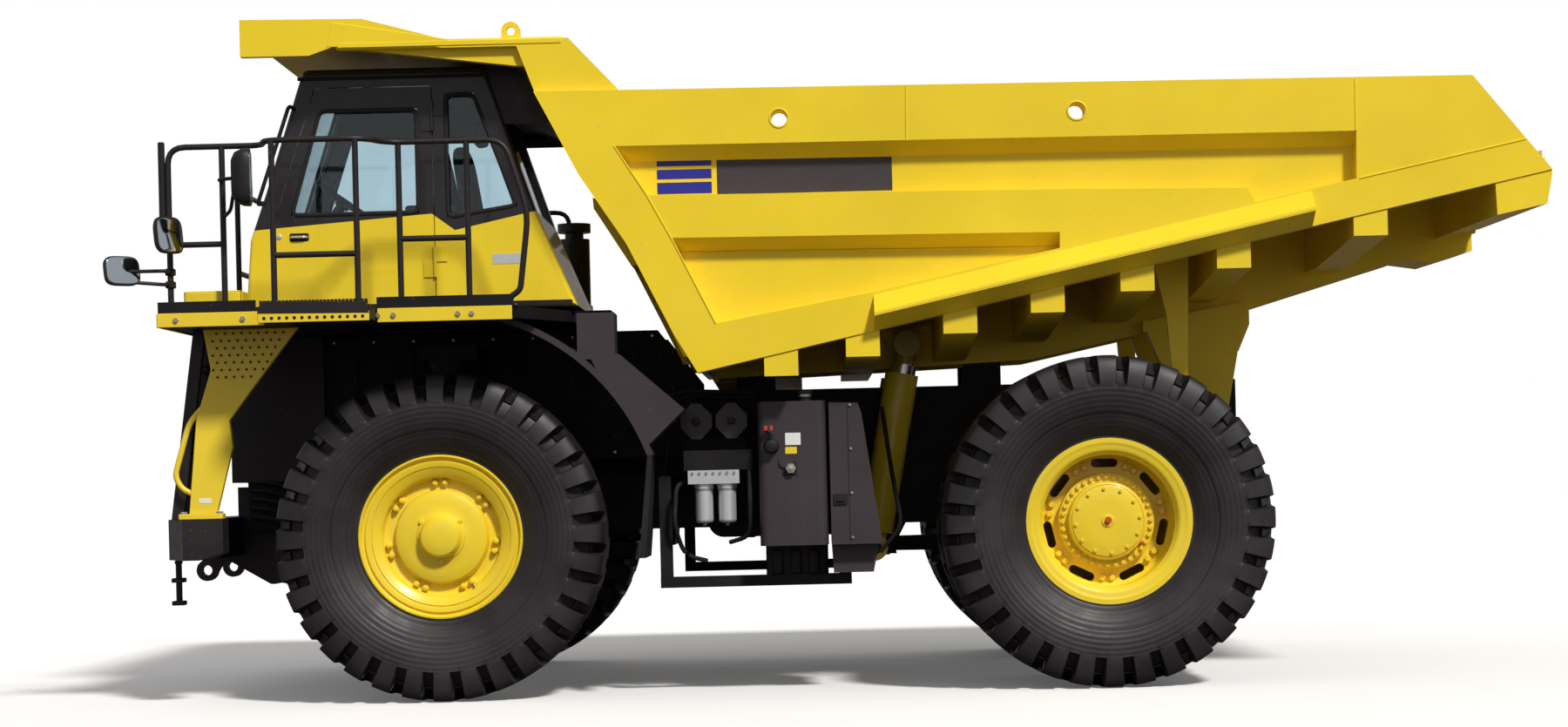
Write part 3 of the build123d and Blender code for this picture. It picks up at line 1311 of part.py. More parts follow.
def body_pads():
    """Rubber pads on the frame rails that the keels rest on."""
    pads = []
    for low_x, high_x in PAD_STATIONS:
        outline = [
            (low_x, RAIL_TOP_REAR),
            (high_x, RAIL_TOP_REAR),
            (high_x, keel_bottom(high_x) - RUNNING_GAP),
            (low_x, keel_bottom(low_x) - RUNNING_GAP),
        ]
        pads.append(both_sides(side_plate(outline, RAIL_OUTER_Y - RAIL_WIDTH + 10, RAIL_OUTER_Y - 5)))
    return together(*pads)


def spill_guards():
    """Boxed lips along the lower rails that throw spilled rock clear of the tyres."""
    low_x = TAIL_BOTTOM[0] + 1532
    high_x = TOE[0] - 1128
    base = floor_line(low_x)
    section = [
        (BODY_HALF_WIDTH, base),
        (BODY_HALF_WIDTH, base + SPILL_GUARD_HEIGHT),
        (BODY_HALF_WIDTH + SPILL_GUARD_REACH, base + SPILL_GUARD_HEIGHT / 2),
        (BODY_HALF_WIDTH + SPILL_GUARD_REACH, base + SPILL_GUARD_HEIGHT / 2 - 25),
    ]
    face = make_face(Polyline(*[(low_x, y, z) for y, z in section], close=True))
    run = Vector(high_x - low_x, 0, floor_line(high_x) - base)
    return both_sides(extrude(face, amount=run.length, dir=run.normalized()))


def rock_ejectors():
    """Bars hanging between the twin rear tyres."""
    middle = (REAR_INNER_TYRE_Y + REAR_OUTER_TYRE_Y) / 2
    outline = [
        (-395, floor_line(-395) + FLOOR_LIFT),
        (-620, floor_line(-620) + FLOOR_LIFT),
        (-620, 2740),
        (-600, 2000),
        (-640, 1500),
        (-560, 1500),
        (-500, 2000),
        (-470, 2400),
        (-395, 2740),
    ]
    return both_sides(side_plate(outline, middle - 22, middle + 22))


def make_wheels():
    """Write the four wheel sets."""
    plain_tyre = tyre()
    inner_rim = Pos(0, REAR_INNER_TYRE_Y, AXLE_Z) * inner_rear_rim()
    outer_rim = Pos(0, REAR_OUTER_TYRE_Y, AXLE_Z) * outer_rear_rim()
    front_place = Pos(0, FRONT_TYRE_Y, AXLE_Z)
    rear_tyres = [Pos(0, y, AXLE_Z) * plain_tyre for y in (REAR_OUTER_TYRE_Y, REAR_INNER_TYRE_Y)]
    front_pieces = {
        "tyre_front": front_place * plain_tyre,
        "rim_front": front_place * front_rim(),
        "hub_front": front_place * front_hub(),
        "knuckle": knuckle(),
    }
    rear_pieces = {
        "tyres_rear": together(*rear_tyres),
        "rims_rear": together(outer_rim, inner_rim),
        "hub_rear": Pos(0, 0, AXLE_Z) * rear_hub(),
    }
    for name, piece in front_pieces.items():
        export_front(f"{name}_left", piece)
        export_front(f"{name}_right", other_side(piece))
    for name, piece in rear_pieces.items():
        export_node(f"{name}_left", piece)
        export_node(f"{name}_right", other_side(piece))


def make_hoists():
    """Write the two hoist cylinders."""
    pieces = {"barrel": hoist_barrel(), "stage": hoist_stage(), "rod": hoist_rod()}
    for name, piece in pieces.items():
        export_node(f"hoist_{name}_left", piece)
        export_node(f"hoist_{name}_right", other_side(piece))


def make_chassis():
    """Write the frame, axles, powertrain and side equipment."""
    export_node("main_frame", frame_rails())
    export_node("frame_crossmembers", frame_crossmembers())
    export_node("equipment_brackets", equipment_brackets())
    export_front("front_lower_arms", lower_arms())
    export_node("rear_axle", rear_axle())
    export_node("suspension_cylinders", together(front_struts(), rear_suspension()))
    export_node("powertrain", powertrain())
    export_node("hydraulic_tank", hydraulic_tank())
    export_node("battery_box", battery_box())
    export_node("fuel_tank", fuel_tank())
    export_node("air_tanks", air_tanks())
    export_node("filter_bank", filter_bank())
    export_node("side_guards", side_guards())
    export_node("body_pads", body_pads())


def make_front():
    """Write the nose, decks, rails and cab."""
    export_front("front_bumper", front_bumper())
    export_front("headlamps", headlamps())
    export_front("radiator_grille", radiator())
    export_front("front_deck", front_deck())
    export_front("engine_hood", engine_hood())
    guards, flaps = front_fenders()
    export_front("front_fenders", guards)
    export_front("mud_flaps", flaps)
    export_front("handrails", together(left_handrails(), right_handrails()))
    export_front("access_ladder", access_ladder())
    export_front("mirrors", mirrors())
    shell = cab_shell()
    export_front("cab_lower", cab_lower(shell))
    export_front("cab_upper", cab_upper(shell))
    export_front("cab_rear_guard", rear_guard())
    export_front("cab_glass", cab_glass())
    export_front("cab_door", cab_door())
    export_front("door_glass", door_glass())
    export_front("cab_interior", cab_interior())


def make_body():
    """Write the tipping body."""
    side = body_side()
    export_node("body_floor", body_floor())
    export_node("body_side_left", side)
    export_node("body_side_right", other_side(side))
    export_front("body_front_wall", body_front_wall())
    export_front("body_canopy", body_canopy())
    export_node("body_keels", body_keels())
    export_node("body_ribs", body_ribs())
    export_node("spill_guards", spill_guards())
    export_node("rock_ejectors", rock_ejectors())


os.makedirs("parts", exist_ok=True)
make_wheels()
make_hoists()
make_chassis()
make_front()
make_body()
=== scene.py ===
"""Dresses the mining dump truck: finishes on its solids, with tyres, wheels, rails and trim on top."""

import logging
import math
from dataclasses import dataclass, field
from enum import Enum

import bmesh
import bpy
import numpy as np
from mathutils import Matrix


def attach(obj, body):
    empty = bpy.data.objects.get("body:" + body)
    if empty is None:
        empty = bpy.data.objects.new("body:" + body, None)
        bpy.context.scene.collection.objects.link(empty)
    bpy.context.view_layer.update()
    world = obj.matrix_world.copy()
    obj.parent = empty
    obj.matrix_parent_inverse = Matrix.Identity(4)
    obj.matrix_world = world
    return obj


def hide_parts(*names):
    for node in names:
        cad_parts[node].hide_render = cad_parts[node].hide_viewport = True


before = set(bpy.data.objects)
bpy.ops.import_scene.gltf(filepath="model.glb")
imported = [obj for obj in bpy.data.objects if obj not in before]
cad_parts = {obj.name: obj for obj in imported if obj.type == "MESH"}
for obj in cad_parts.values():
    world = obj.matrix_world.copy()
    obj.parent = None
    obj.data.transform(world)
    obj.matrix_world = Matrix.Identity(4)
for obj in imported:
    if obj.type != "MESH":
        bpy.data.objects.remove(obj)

Array = np.ndarray
Colour = tuple[float, float, float]
Point = tuple[float, float, float]
Pair = tuple[float, float]
Profile = tuple[Pair, ...]

LOG = logging.getLogger("dump_truck")
FRONT_AXLE = 2.62
REAR_AXLE = -1.68
AXLE_HEIGHT = 1.065
FRONT_TYRE_Y = 1.757
OUTER_TYRE_Y = 1.921
INNER_TYRE_Y = 1.159
SHARP_ANGLE = 34.0
ROUND_SIDES = 96
UP = np.array([0.0, 0.0, 1.0])
LEAN = np.array([0.577, 0.577, 0.577])
ACROSS = np.array([0.0, 1.0, 0.0])


class Side(Enum):
    """Left or right half of the truck, as the sign of y."""

    LEFT = 1
    RIGHT = -1

    @property
    def word(self) -> str:
        """Name of the side as the part names end."""
        return self.name.lower()

    def place(self, points: Array) -> Array:
        """Points drawn for the left, taken to this side."""
        return np.asarray(points, float) * np.array([1.0, self.value, 1.0])


class Plane(Enum):
    """Plane of a flat outline, as the order of the axes: two in the plane, then the thickness."""

    SIDE = (0, 2, 1)
    FRONT = (1, 2, 0)
    PLAN = (0, 1, 2)


def unit(vectors: Array) -> Array:
    """Vectors divided by their lengths."""
    return vectors / np.linalg.norm(vectors, axis=-1, keepdims=True)


def from_front(points: list | Array) -> Array:
    """Points measured from the front axle, in the truck's frame."""
    return np.asarray(points, float) + np.array([FRONT_AXLE, 0.0, 0.0])


def from_rear(points: list | Array) -> Array:
    """Points measured from the rear axle, in the truck's frame."""
    return np.asarray(points, float) + np.array([REAR_AXLE, 0.0, 0.0])


def side_view(outline: list | Array, axle: float = FRONT_AXLE) -> Array:
    """Outline in side view measured from an axle, in the truck's frame."""
    return np.asarray(outline, float) + [axle, 0.0]


def circle(radius: float, sides: int = 12) -> Array:
    """Section of a round bar.

    Args:
        radius: Its radius.
        sides: Number of points.

    Returns:
        Points (radius * cos t, radius * sin t) for even steps of t round the circle.
    """
    turn = np.linspace(0, 2 * math.pi, sides, endpoint=False)
    return radius * np.stack([np.cos(turn), np.sin(turn)], axis=1)


def softened(points: list | Array, reach: float, steps: int = 6, closed: bool = False) -> Array:
    """Line or outline whose corners are rounded.

    Each corner c becomes the quadratic Bezier curve (1-t)^2 a + 2t(1-t) c + t^2 b, where a and b lie a set
    distance before and after the corner.

    Args:
        points: The corners, in two or three dimensions.
        reach: Distance from a corner at which its curve starts.
        steps: Points on each curve.
        closed: Whether the last point joins the first.

    Returns:
        The points of the rounded line.
    """
    points = np.asarray(points, float)
    back = np.roll(points, 1, axis=0) - points
    onward = np.roll(points, -1, axis=0) - points
    lengths = np.linalg.norm(back, axis=1), np.linalg.norm(onward, axis=1)
    cut = np.minimum(reach, 0.48 * np.minimum(*lengths))[:, None]
    start = points + unit(back) * cut
    end = points + unit(onward) * cut
    t = np.linspace(0, 1, steps)[None, :, None]
    arcs = (1 - t) ** 2 * start[:, None] + 2 * t * (1 - t) * points[:, None] + t**2 * end[:, None]
    if closed:
        return arcs.reshape(-1, points.shape[1])
    return np.concatenate([points[:1], arcs[1:-1].reshape(-1, points.shape[1]), points[-1:]])


def carried(section: Array, path: Array, lean: Array = LEAN) -> Array:
    """Section carried along a path.

    A ring is the path's point plus section x times the sideways direction plus section y times the upright
    one, where sideways is the lean crossed with the path's direction.

    Args:
        section: Points of the section in its own plane.
        path: Points of the path.
        lean: Direction that the section's second axis stays close to.

    Returns:
        Rings of points, one for each point of the path.
    """
    path = np.asarray(path, float)
    ahead = unit(np.gradient(path, axis=0))
    across = unit(np.cross(lean, ahead))
    rise = np.cross(ahead, across)
    return path[:, None] + section[:, 0, None] * across[:, None] + section[:, 1, None] * rise[:, None]


def tube(points: list | Array, radius: float, bend: float = 0.08, sides: int = 12) -> Array:
    """Round tube through corner points, with rounded bends."""
    return carried(circle(radius, sides), softened(points, bend))


def turned(profile: list | Array, centre: Array, axis: Array = ACROSS, sides: int = 64) -> Array:
    """Profile turned about an axis.

    The ring at distance a along the axis with radius r is centre + a * axis + r * (cos t * e + sin t * f),
    where e and f are square to the axis.

    Args:
        profile: Rows of distance along the axis and radius.
        centre: Point that the distances start from.
        axis: Direction of the axis.
        sides: Points round each ring.

    Returns:
        Rings of points.
    """
    profile = np.asarray(profile, float)
    axis = unit(np.asarray(axis, float))
    helper = UP if abs(axis[2]) < 0.9 else np.array([1.0, 0.0, 0.0])
    first = unit(np.cross(axis, helper))
    second = np.cross(axis, first)
    turn = np.linspace(0, 2 * math.pi, sides, endpoint=False)[:, None]
    around = np.cos(turn) * first + np.sin(turn) * second
    return np.asarray(centre) + profile[:, 0, None, None] * axis + profile[:, 1, None, None] * around


def hoop(profile: list | Array, centre: Array, axis: Array = ACROSS, sides: int = 64) -> Array:
    """Closed section turned about an axis, as rings that close on themselves when joined."""
    return turned(profile, centre, axis, sides).transpose(1, 0, 2)


def drawn_in(outline: Array, amount: float) -> Array:
    """Closed outline drawn in by an even amount.

    Each corner moves by the amount times (n + m) / (1 + n.m), where n and m are the outward normals of its
    edges.

    Args:
        outline: Corners in the plane.
        amount: Distance inwards.

    Returns:
        The new corners.
    """
    edge = np.roll(outline, -1, axis=0) - outline
    area = np.sum(outline[:, 0] * np.roll(outline[:, 1], -1) - outline[:, 1] * np.roll(outline[:, 0], -1))
    normal = unit(np.stack([edge[:, 1], -edge[:, 0]], axis=1)) * np.sign(area)
    before = np.roll(normal, 1, axis=0)
    share = np.maximum(1 + np.sum(before * normal, axis=1, keepdims=True), 0.3)
    return outline - amount * (before + normal) / share


def slab(outline: list | Array, plane: Plane, low: float, high: float, bevel: float = 0.003) -> Array:
    """Plate with bevelled edges: four rings of its outline, the first and last drawn in.

    Args:
        outline: Corners in the plate's plane.
        plane: The plane it is drawn in.
        low: Lower face along the plane's third axis.
        high: Upper face along it.
        bevel: Width of the bevel.

    Returns:
        Rings of points.
    """
    outline = np.asarray(outline, float)
    inner = drawn_in(outline, bevel)
    levels = (low, low + bevel, high - bevel, high)
    rings = np.zeros((4, len(outline), 3))
    for ring, flat, level in zip(rings, (inner, outline, outline, inner), levels):
        ring[:, plane.value[0]] = flat[:, 0]
        ring[:, plane.value[1]] = flat[:, 1]
        ring[:, plane.value[2]] = level
    return rings


def rectangle(low: Pair, high: Pair, corner: float = 0.0) -> Array:
    """Rectangle between two corners, with its own corners rounded if asked."""
    corners = np.array([[low[0], low[1]], [high[0], low[1]], [high[0], high[1]], [low[0], high[1]]])
    return softened(corners, corner, 4, closed=True) if corner else corners


def block(low: Point | Array, high: Point | Array, bevel: float = 0.006, plane: Plane = Plane.PLAN) -> Array:
    """Box with rounded edges between two opposite corners.

    Args:
        low: Corner with the smallest coordinates.
        high: Corner with the largest ones.
        bevel: Width of the bevels, and half the reach of the rounded corners.
        plane: Plane whose outline is rounded.

    Returns:
        Rings of points.
    """
    a, b, c = plane.value
    outline = rectangle((low[a], low[b]), (high[a], high[b]), 2 * bevel)
    return slab(outline, plane, low[c], high[c], bevel)


def bolts(centres: list | Array, axis: list | Array, radius: float, height: float) -> Array:
    """Hexagon bolt heads with chamfered tops at several places.

    A head is three six-sided rings: at its foot, below the chamfer and on top with 0.8 of the radius.

    Args:
        centres: Middle of each head's foot.
        axis: Direction that the heads point in.
        radius: Radius over the corners.
        height: Height of a head.

    Returns:
        One set of rings for each bolt.
    """
    profile = [(-0.002, radius), (0.75 * height, radius), (height, 0.8 * radius)]
    head = turned(profile, np.zeros(3), np.asarray(axis, float), 6)
    return np.asarray(centres, float)[:, None, None] + head


def spun(angles: Array, centre: Array, radius: float) -> Array:
    """Points on a circle about an axis along y, at angles from the top."""
    ring = np.stack([radius * np.sin(angles), np.zeros_like(angles), radius * np.cos(angles)], axis=1)
    return np.asarray(centre) + ring


class Skin:
    """Closed shells gathered into one mesh, each with the number of its finish."""

    def __init__(self) -> None:
        """Starts with no shells."""
        self.points: list[Array] = []
        self.faces: list[list[int]] = []
        self.marks: list[Array] = []
        self.count = 0

    def add(self, shells: Array, finish: int = 0, joined: bool = False) -> "Skin":
        """Adds one shell, or several of the same grid, and closes its ends.

        Args:
            shells: Rings of points, or several sets of rings.
            finish: Number of the finish in the list given to build.
            joined: Whether the last ring joins the first, as in a hoop.

        Returns:
            The skin itself.
        """
        shells = np.asarray(shells, float)
        if shells.ndim == 3:
            shells = shells[None]
        number, rings, around, _ = shells.shape
        base = (self.count + np.arange(number) * rings * around)[:, None, None]
        row = np.arange(rings if joined else rings - 1)[None, :, None]
        col = np.arange(around)[None, None, :]
        here, there = base + row * around, base + (row + 1) % rings * around
        after = (col + 1) % around
        quads = np.stack([here + col, here + after, there + after, there + col], axis=-1).reshape(-1, 4)
        made = quads.tolist()
        if not joined:
            ends = base[:, 0] + np.arange(around)[None]
            made += ends[:, ::-1].tolist() + (ends + (rings - 1) * around).tolist()
        self.faces += made
        self.marks.append(np.full(len(made), finish, np.int32))
        self.points.append(shells.reshape(-1, 3))
        self.count += shells.size // 3
        return self

    def mirrored(self, shells: Array, finish: int = 0) -> "Skin":
        """Adds a shell on the left and its twin on the right."""
        shells = np.asarray(shells, float)
        return self.add(shells, finish).add(Side.RIGHT.place(shells), finish)

    def build(
        self,
        name: str,
        body: str,
        slot: str,
        finishes: list[bpy.types.Material],
        replaces: tuple[str, ...] = (),
        smooth: float = SHARP_ANGLE,
    ) -> bpy.types.Object:
        """Makes the object, turns its faces outwards and lets it ride.

        Args:
            name: Name of the piece.
            body: CAD body that it rides on.
            slot: Name of a material slot; not used.
            finishes: Materials, in the order of the finish numbers.
            replaces: CAD nodes that it stands for.
            smooth: Largest angle in degrees that is shaded smooth.

        Returns:
            The finished object.
        """
        mesh = bpy.data.meshes.new(name)
        mesh.from_pydata(np.concatenate(self.points).tolist(), [], self.faces)
        mesh.polygons.foreach_set("material_index", np.concatenate(self.marks))
        for finish in finishes:
            mesh.materials.append(finish)
        shape = bmesh.new()
        shape.from_mesh(mesh)
        bmesh.ops.recalc_face_normals(shape, faces=shape.faces)
        shape.to_mesh(mesh)
        shape.free()
        mesh.shade_smooth()
        mesh.set_sharp_from_angle(angle=math.radians(smooth))
        piece = bpy.data.objects.new(name, mesh)
        bpy.context.scene.collection.objects.link(piece)
        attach(piece, body)
        if replaces:
            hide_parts(*replaces)
        LOG.info("%s: %d faces on %s", name, len(mesh.polygons), body)
        return piece


class NodeBench:
    """Short calls that add and join the nodes of one material."""

    def __init__(self, name: str) -> None:
        """Makes a plain material with its output and shader.

        Args:
            name: Name of the material.
        """
        self.material = bpy.data.materials.new(name)
        self.material.use_nodes = True
        self.tree = self.material.node_tree
        self.shader = self.tree.nodes["Principled BSDF"]
        self.place = self.add("ShaderNodeTexCoord").outputs["Object"]

    def add(self, kind: str, **settings: object) -> bpy.types.Node:
        """Adds a node.

        Args:
            kind: Type of the node.
            **settings: Values of its properties.

        Returns:
            The node.
        """
        node = self.tree.nodes.new(kind)
        for key, value in settings.items():
            setattr(node, key, value)
        return node

    def feed(self, socket: bpy.types.NodeSocket, value: object) -> None:
        """Joins a socket to another, or sets its value.

        Args:
            socket: The input.
            value: An output to join, or a plain value.
        """
        if isinstance(value, bpy.types.NodeSocket):
            self.tree.links.new(value, socket)
        else:
            socket.default_value = value

    def dial(self, name: str, value: object) -> None:
        """Joins or sets one of the shader's own sockets."""
        self.feed(self.shader.inputs[name], value)

    def noise(
        self, scale: float, detail: float = 3.0, stretch: Point = (1, 1, 1), shift: Point = (0, 0, 0)
    ) -> object:
        """Noise value on the object's own coordinates.

        Args:
            scale: Size of the pattern, as waves to the metre.
            detail: Number of finer layers.
            stretch: Scale along each axis.
            shift: Offset, so that two patterns don't lie on each other.

        Returns:
            The socket of the value.
        """
        mapping = self.add("ShaderNodeMapping")
        noise = self.add("ShaderNodeTexNoise")
        self.feed(mapping.inputs["Vector"], self.place)
        self.feed(mapping.inputs["Scale"], stretch)
        self.feed(mapping.inputs["Location"], shift)
        self.feed(noise.inputs["Vector"], mapping.outputs["Vector"])
        self.feed(noise.inputs["Scale"], scale)
        self.feed(noise.inputs["Detail"], detail)
        return noise.outputs["Fac"]

    def ranged(self, value: object, low: float, high: float, new_low: float, new_high: float) -> object:
        """Value taken from one range to another, and kept inside it.

        Args:
            value: Socket or number.
            low: Start of the first range.
            high: Its end.
            new_low: Start of the second range.
            new_high: Its end.

        Returns:
            The socket of the result.
        """
        node = self.add("ShaderNodeMapRange")
        for socket, given in zip(node.inputs, (value, low, high, new_low, new_high)):
            self.feed(socket, given)
        return node.outputs["Result"]

    def sum(self, kind: str, first: object, second: object) -> object:
        """Result of a Math node.

        Args:
            kind: Operation of the node.
            first: First socket or number.
            second: Second one.

        Returns:
            The socket of the result.
        """
        node = self.add("ShaderNodeMath", operation=kind)
        self.feed(node.inputs[0], first)
        self.feed(node.inputs[1], second)
        return node.outputs["Value"]

    def blended(self, share: object, first: object, second: object) -> object:
        """Colour between two colours.

        Args:
            share: Socket or number, 0 for the first and 1 for the second.
            first: Socket or plain colour.
            second: Socket or plain colour.

        Returns:
            The socket of the colour.
        """
        node = self.add("ShaderNodeMix", data_type="RGBA")
        colours = [s for s in node.inputs if s.type == "RGBA"]
        self.feed(node.inputs["Factor"], share)
        for socket, value in zip(colours, (first, second)):
            self.feed(socket, value if isinstance(value, bpy.types.NodeSocket) else (*value, 1.0))
        return next(s for s in node.outputs if s.type == "RGBA")

    def height(self, value: object, strength: float, distance: float = 0.004) -> None:
        """Bump from a value, on the shader's normal.

        Args:
            value: Socket of the height.
            strength: Share of the bump.
            distance: Depth of the bump in metres.
        """
        bump = self.add("ShaderNodeBump")
        self.feed(bump.inputs["Strength"], strength)
        self.feed(bump.inputs["Distance"], distance)
        self.feed(bump.inputs["Height"], value)
        self.dial("Normal", bump.outputs["Normal"])


DUST_TOP = 3.2
DUST_LEAST = 0.12
TONE_SCALE = 1.3
FILM_SCALE = 2.7
MARK_SCALE = 34.0
MARK_EDGE = (0.715, 0.74)
PATCH_SCALE = 9.0
ROUGH_SWING = 0.06


@dataclass(frozen=True)
class Finish:
    """Painted, cast or turned surface with uneven colour, dust from below and small scuffs."""

    name: str
    colour: Colour
    rough: float
    metal: float = 0.0
    coat: float = 0.0
    spread: float = 0.06
    grain: float = 220.0
    bump: float = 0.06
    dust: float = 0.12
    dust_colour: Colour = (0.42, 0.36, 0.27)
    scuff: float = 0.15
    scuff_colour: Colour = (0.35, 0.34, 0.32)
    stretch: Point = (1, 1, 1)
    gloss: float = 0.4

    def tones(self, bench: NodeBench, colour: Colour) -> object:
        """Colour with broad lighter and darker areas.

        Args:
            bench: The material's nodes.
            colour: The plain colour.

        Returns:
            The socket of the colour.
        """
        darker = tuple(c * (1 - self.spread) for c in colour)
        lighter = tuple(min(1.0, c * (1 + self.spread)) for c in colour)
        share = bench.ranged(bench.noise(TONE_SCALE, 4.0), 0.3, 0.7, 0.0, 1.0)
        return bench.blended(share, darker, lighter)

    def worn(self, bench: NodeBench, tone: object) -> bpy.types.Material:
        """Adds dust, scuffs, roughness and bump over a tone.

        Args:
            bench: The material's nodes.
            tone: Colour before wear.

        Returns:
            The finished material.
        """
        split = bench.add("ShaderNodeSeparateXYZ")
        bench.feed(split.inputs[0], bench.place)
        low = bench.ranged(split.outputs["Z"], 0.0, DUST_TOP, 1.0, DUST_LEAST)
        film = bench.ranged(bench.noise(FILM_SCALE, 6.0, shift=(3, 1, 7)), 0.4, 0.72, 0.0, 1.0)
        dust = bench.sum("MULTIPLY", bench.sum("MULTIPLY", film, low), self.dust)
        tone = bench.blended(dust, tone, self.dust_colour)
        spots = bench.noise(MARK_SCALE, 2.0, self.stretch, (5, 2, 9))
        marks = bench.ranged(spots, *MARK_EDGE, 0.0, self.scuff)
        tone = bench.blended(marks, tone, self.scuff_colour)
        bench.dial("Base Color", tone)
        fine = bench.noise(self.grain, 2.0, self.stretch)
        patches = bench.noise(PATCH_SCALE, 3.0, self.stretch)
        rough = bench.ranged(patches, 0.3, 0.7, self.rough - ROUGH_SWING, self.rough + ROUGH_SWING)
        bench.dial("Roughness", bench.sum("ADD", rough, bench.sum("MULTIPLY", dust, 0.5)))
        bench.dial("Metallic", self.metal)
        bench.dial("Coat Weight", self.coat)
        bench.dial("Specular IOR Level", self.gloss)
        bench.height(fine, self.bump)
        return bench.material

    def material(self) -> bpy.types.Material:
        """The finish as a material."""
        bench = NodeBench(self.name)
        return self.worn(bench, self.tones(bench, self.colour))


@dataclass(frozen=True)
class TwoTone(Finish):
    """Cab paint: one colour below a waist line that falls and rises along the truck, another above; inside
    the shell the walls are near-black, painted shade for the dark inside of the cab.
    """

    upper: Colour = (0.02, 0.018, 0.02)
    waist: Profile = ((1.25, 3.075), (0.02, 3.163), (-0.128, 3.052), (-0.70, 3.175))
    low: float = 3.0
    high: float = 3.2
    # Painted shade: near-black on the inner faces of the cab's walls, standing in for the dark inside seen
    # through the glass.
    painted_inner_shade: Colour = (0.011, 0.010, 0.011)
    shell: Profile = (
        (1.241, 2.546), (1.203, 3.017), (1.094, 3.325), (0.858, 4.049), (0.700, 4.100),
        (-0.344, 4.100), (-0.370, 4.019), (-0.654, 3.168), (-0.912, 2.546),
    )
    sides: Pair = (0.42, 1.86)
    wall: float = 0.045

    def inside(self, bench: NodeBench) -> object:
        """Mask that is 1 within the cab's shell.

        It is the product of one test for each face: whether the place lies more than the wall's thickness
        behind the face's plane.

        Args:
            bench: The material's nodes.

        Returns:
            The mask.
        """
        corners = side_view(self.shell)
        edges = np.roll(corners, -1, axis=0) - corners
        normals = unit(np.stack([edges[:, 1], -edges[:, 0]], axis=1))
        planes = [((n[0], 0.0, n[1]), float(n @ c)) for n, c in zip(normals, corners)]
        planes += [((0.0, -1.0, 0.0), -self.sides[0]), ((0.0, 1.0, 0.0), self.sides[1])]
        mask = 1.0
        for normal, offset in planes:
            dot = bench.add("ShaderNodeVectorMath", operation="DOT_PRODUCT")
            bench.feed(dot.inputs[0], bench.place)
            bench.feed(dot.inputs[1], normal)
            behind = bench.sum("LESS_THAN", dot.outputs["Value"], offset - self.wall)
            mask = bench.sum("MULTIPLY", behind, mask)
        return mask

    def material(self) -> bpy.types.Material:
        """The finish as a material; the waist's height is a ramp along x, and the inside of the shell takes
        the near-black painted shade.

        Returns:
            The material.
        """
        bench = NodeBench(self.name)
        split = bench.add("ShaderNodeSeparateXYZ")
        bench.feed(split.inputs[0], bench.place)
        rear, front = self.waist[-1][0], self.waist[0][0]
        along = bench.ranged(split.outputs["X"], FRONT_AXLE + rear, FRONT_AXLE + front, 0.0, 1.0)
        ramp = bench.add("ShaderNodeValToRGB")
        bench.feed(ramp.inputs["Fac"], along)
        reach, rise = front - rear, self.high - self.low
        stops = sorted(((x - rear) / reach, (z - self.low) / rise) for x, z in self.waist)
        elements = ramp.color_ramp.elements
        for _ in range(len(stops) - len(elements)):
            elements.new(0.5)
        for element, (position, level) in zip(elements, stops):
            element.position = position
            element.color = (level, level, level, 1.0)
        line = bench.ranged(ramp.outputs["Color"], 0.0, 1.0, self.low, self.high)
        above = bench.sum("GREATER_THAN", split.outputs["Z"], line)
        tone = bench.blended(above, self.tones(bench, self.colour), self.tones(bench, self.upper))
        # Inside the shell the tone gives way to the near-black painted shade.
        return self.worn(bench, bench.blended(self.inside(bench), tone, self.painted_inner_shade))


@dataclass(frozen=True)
class SplitPaint(Finish):
    """Surface that is bare or dark up to a plane across one axis and painted past it."""

    paint: Colour = (0.5, 0.36, 0.02)
    axis: str = "Z"
    line: float = 2.16

    def material(self) -> bpy.types.Material:
        """The finish as a material; the plane splits both colour and metal.

        Returns:
            The material.
        """
        bench = NodeBench(self.name)
        split = bench.add("ShaderNodeSeparateXYZ")
        bench.feed(split.inputs[0], bench.place)
        past = bench.sum("GREATER_THAN", split.outputs[self.axis], self.line)
        made = self.worn(bench, bench.blended(past, self.tones(bench, self.colour), self.paint))
        bare = bench.sum("SUBTRACT", 1.0, past)
        bench.dial("Metallic", bench.sum("MULTIPLY", bare, self.metal))
        return made


@dataclass(frozen=True)
class TreadRubber(Finish):
    """Tyre rubber with moulding rings round the wheel's axis and grey dust between them."""

    ring_scale: float = 60.0
    ring_depth: float = 0.003
    fine_share: float = 1.4
    ring_limit: float = 0.865
    centre_x: float = FRONT_AXLE

    def material(self) -> bpy.types.Material:
        """The finish as a material; the rings are a wave of the distance from the axle.

        Returns:
            The material.
        """
        bench = NodeBench(self.name)
        made = self.worn(bench, self.tones(bench, self.colour))
        mapping = bench.add("ShaderNodeMapping")
        bench.feed(mapping.inputs["Vector"], bench.place)
        bench.feed(mapping.inputs["Location"], (-self.centre_x, 0.0, -AXLE_HEIGHT))
        bench.feed(mapping.inputs["Scale"], (1.0, 0.0, 1.0))
        length = bench.add("ShaderNodeVectorMath", operation="LENGTH")
        bench.feed(length.inputs[0], mapping.outputs["Vector"])
        radius = length.outputs["Value"]
        wave = bench.sum("SINE", bench.sum("MULTIPLY", radius, self.ring_scale * math.pi), 0.0)
        wave = bench.sum("MULTIPLY", wave, bench.sum("LESS_THAN", radius, self.ring_limit))
        fine = bench.sum("MULTIPLY", bench.noise(self.grain, 4.0), self.fine_share)
        bench.height(bench.sum("ADD", wave, fine), self.bump, self.ring_depth)
        return made


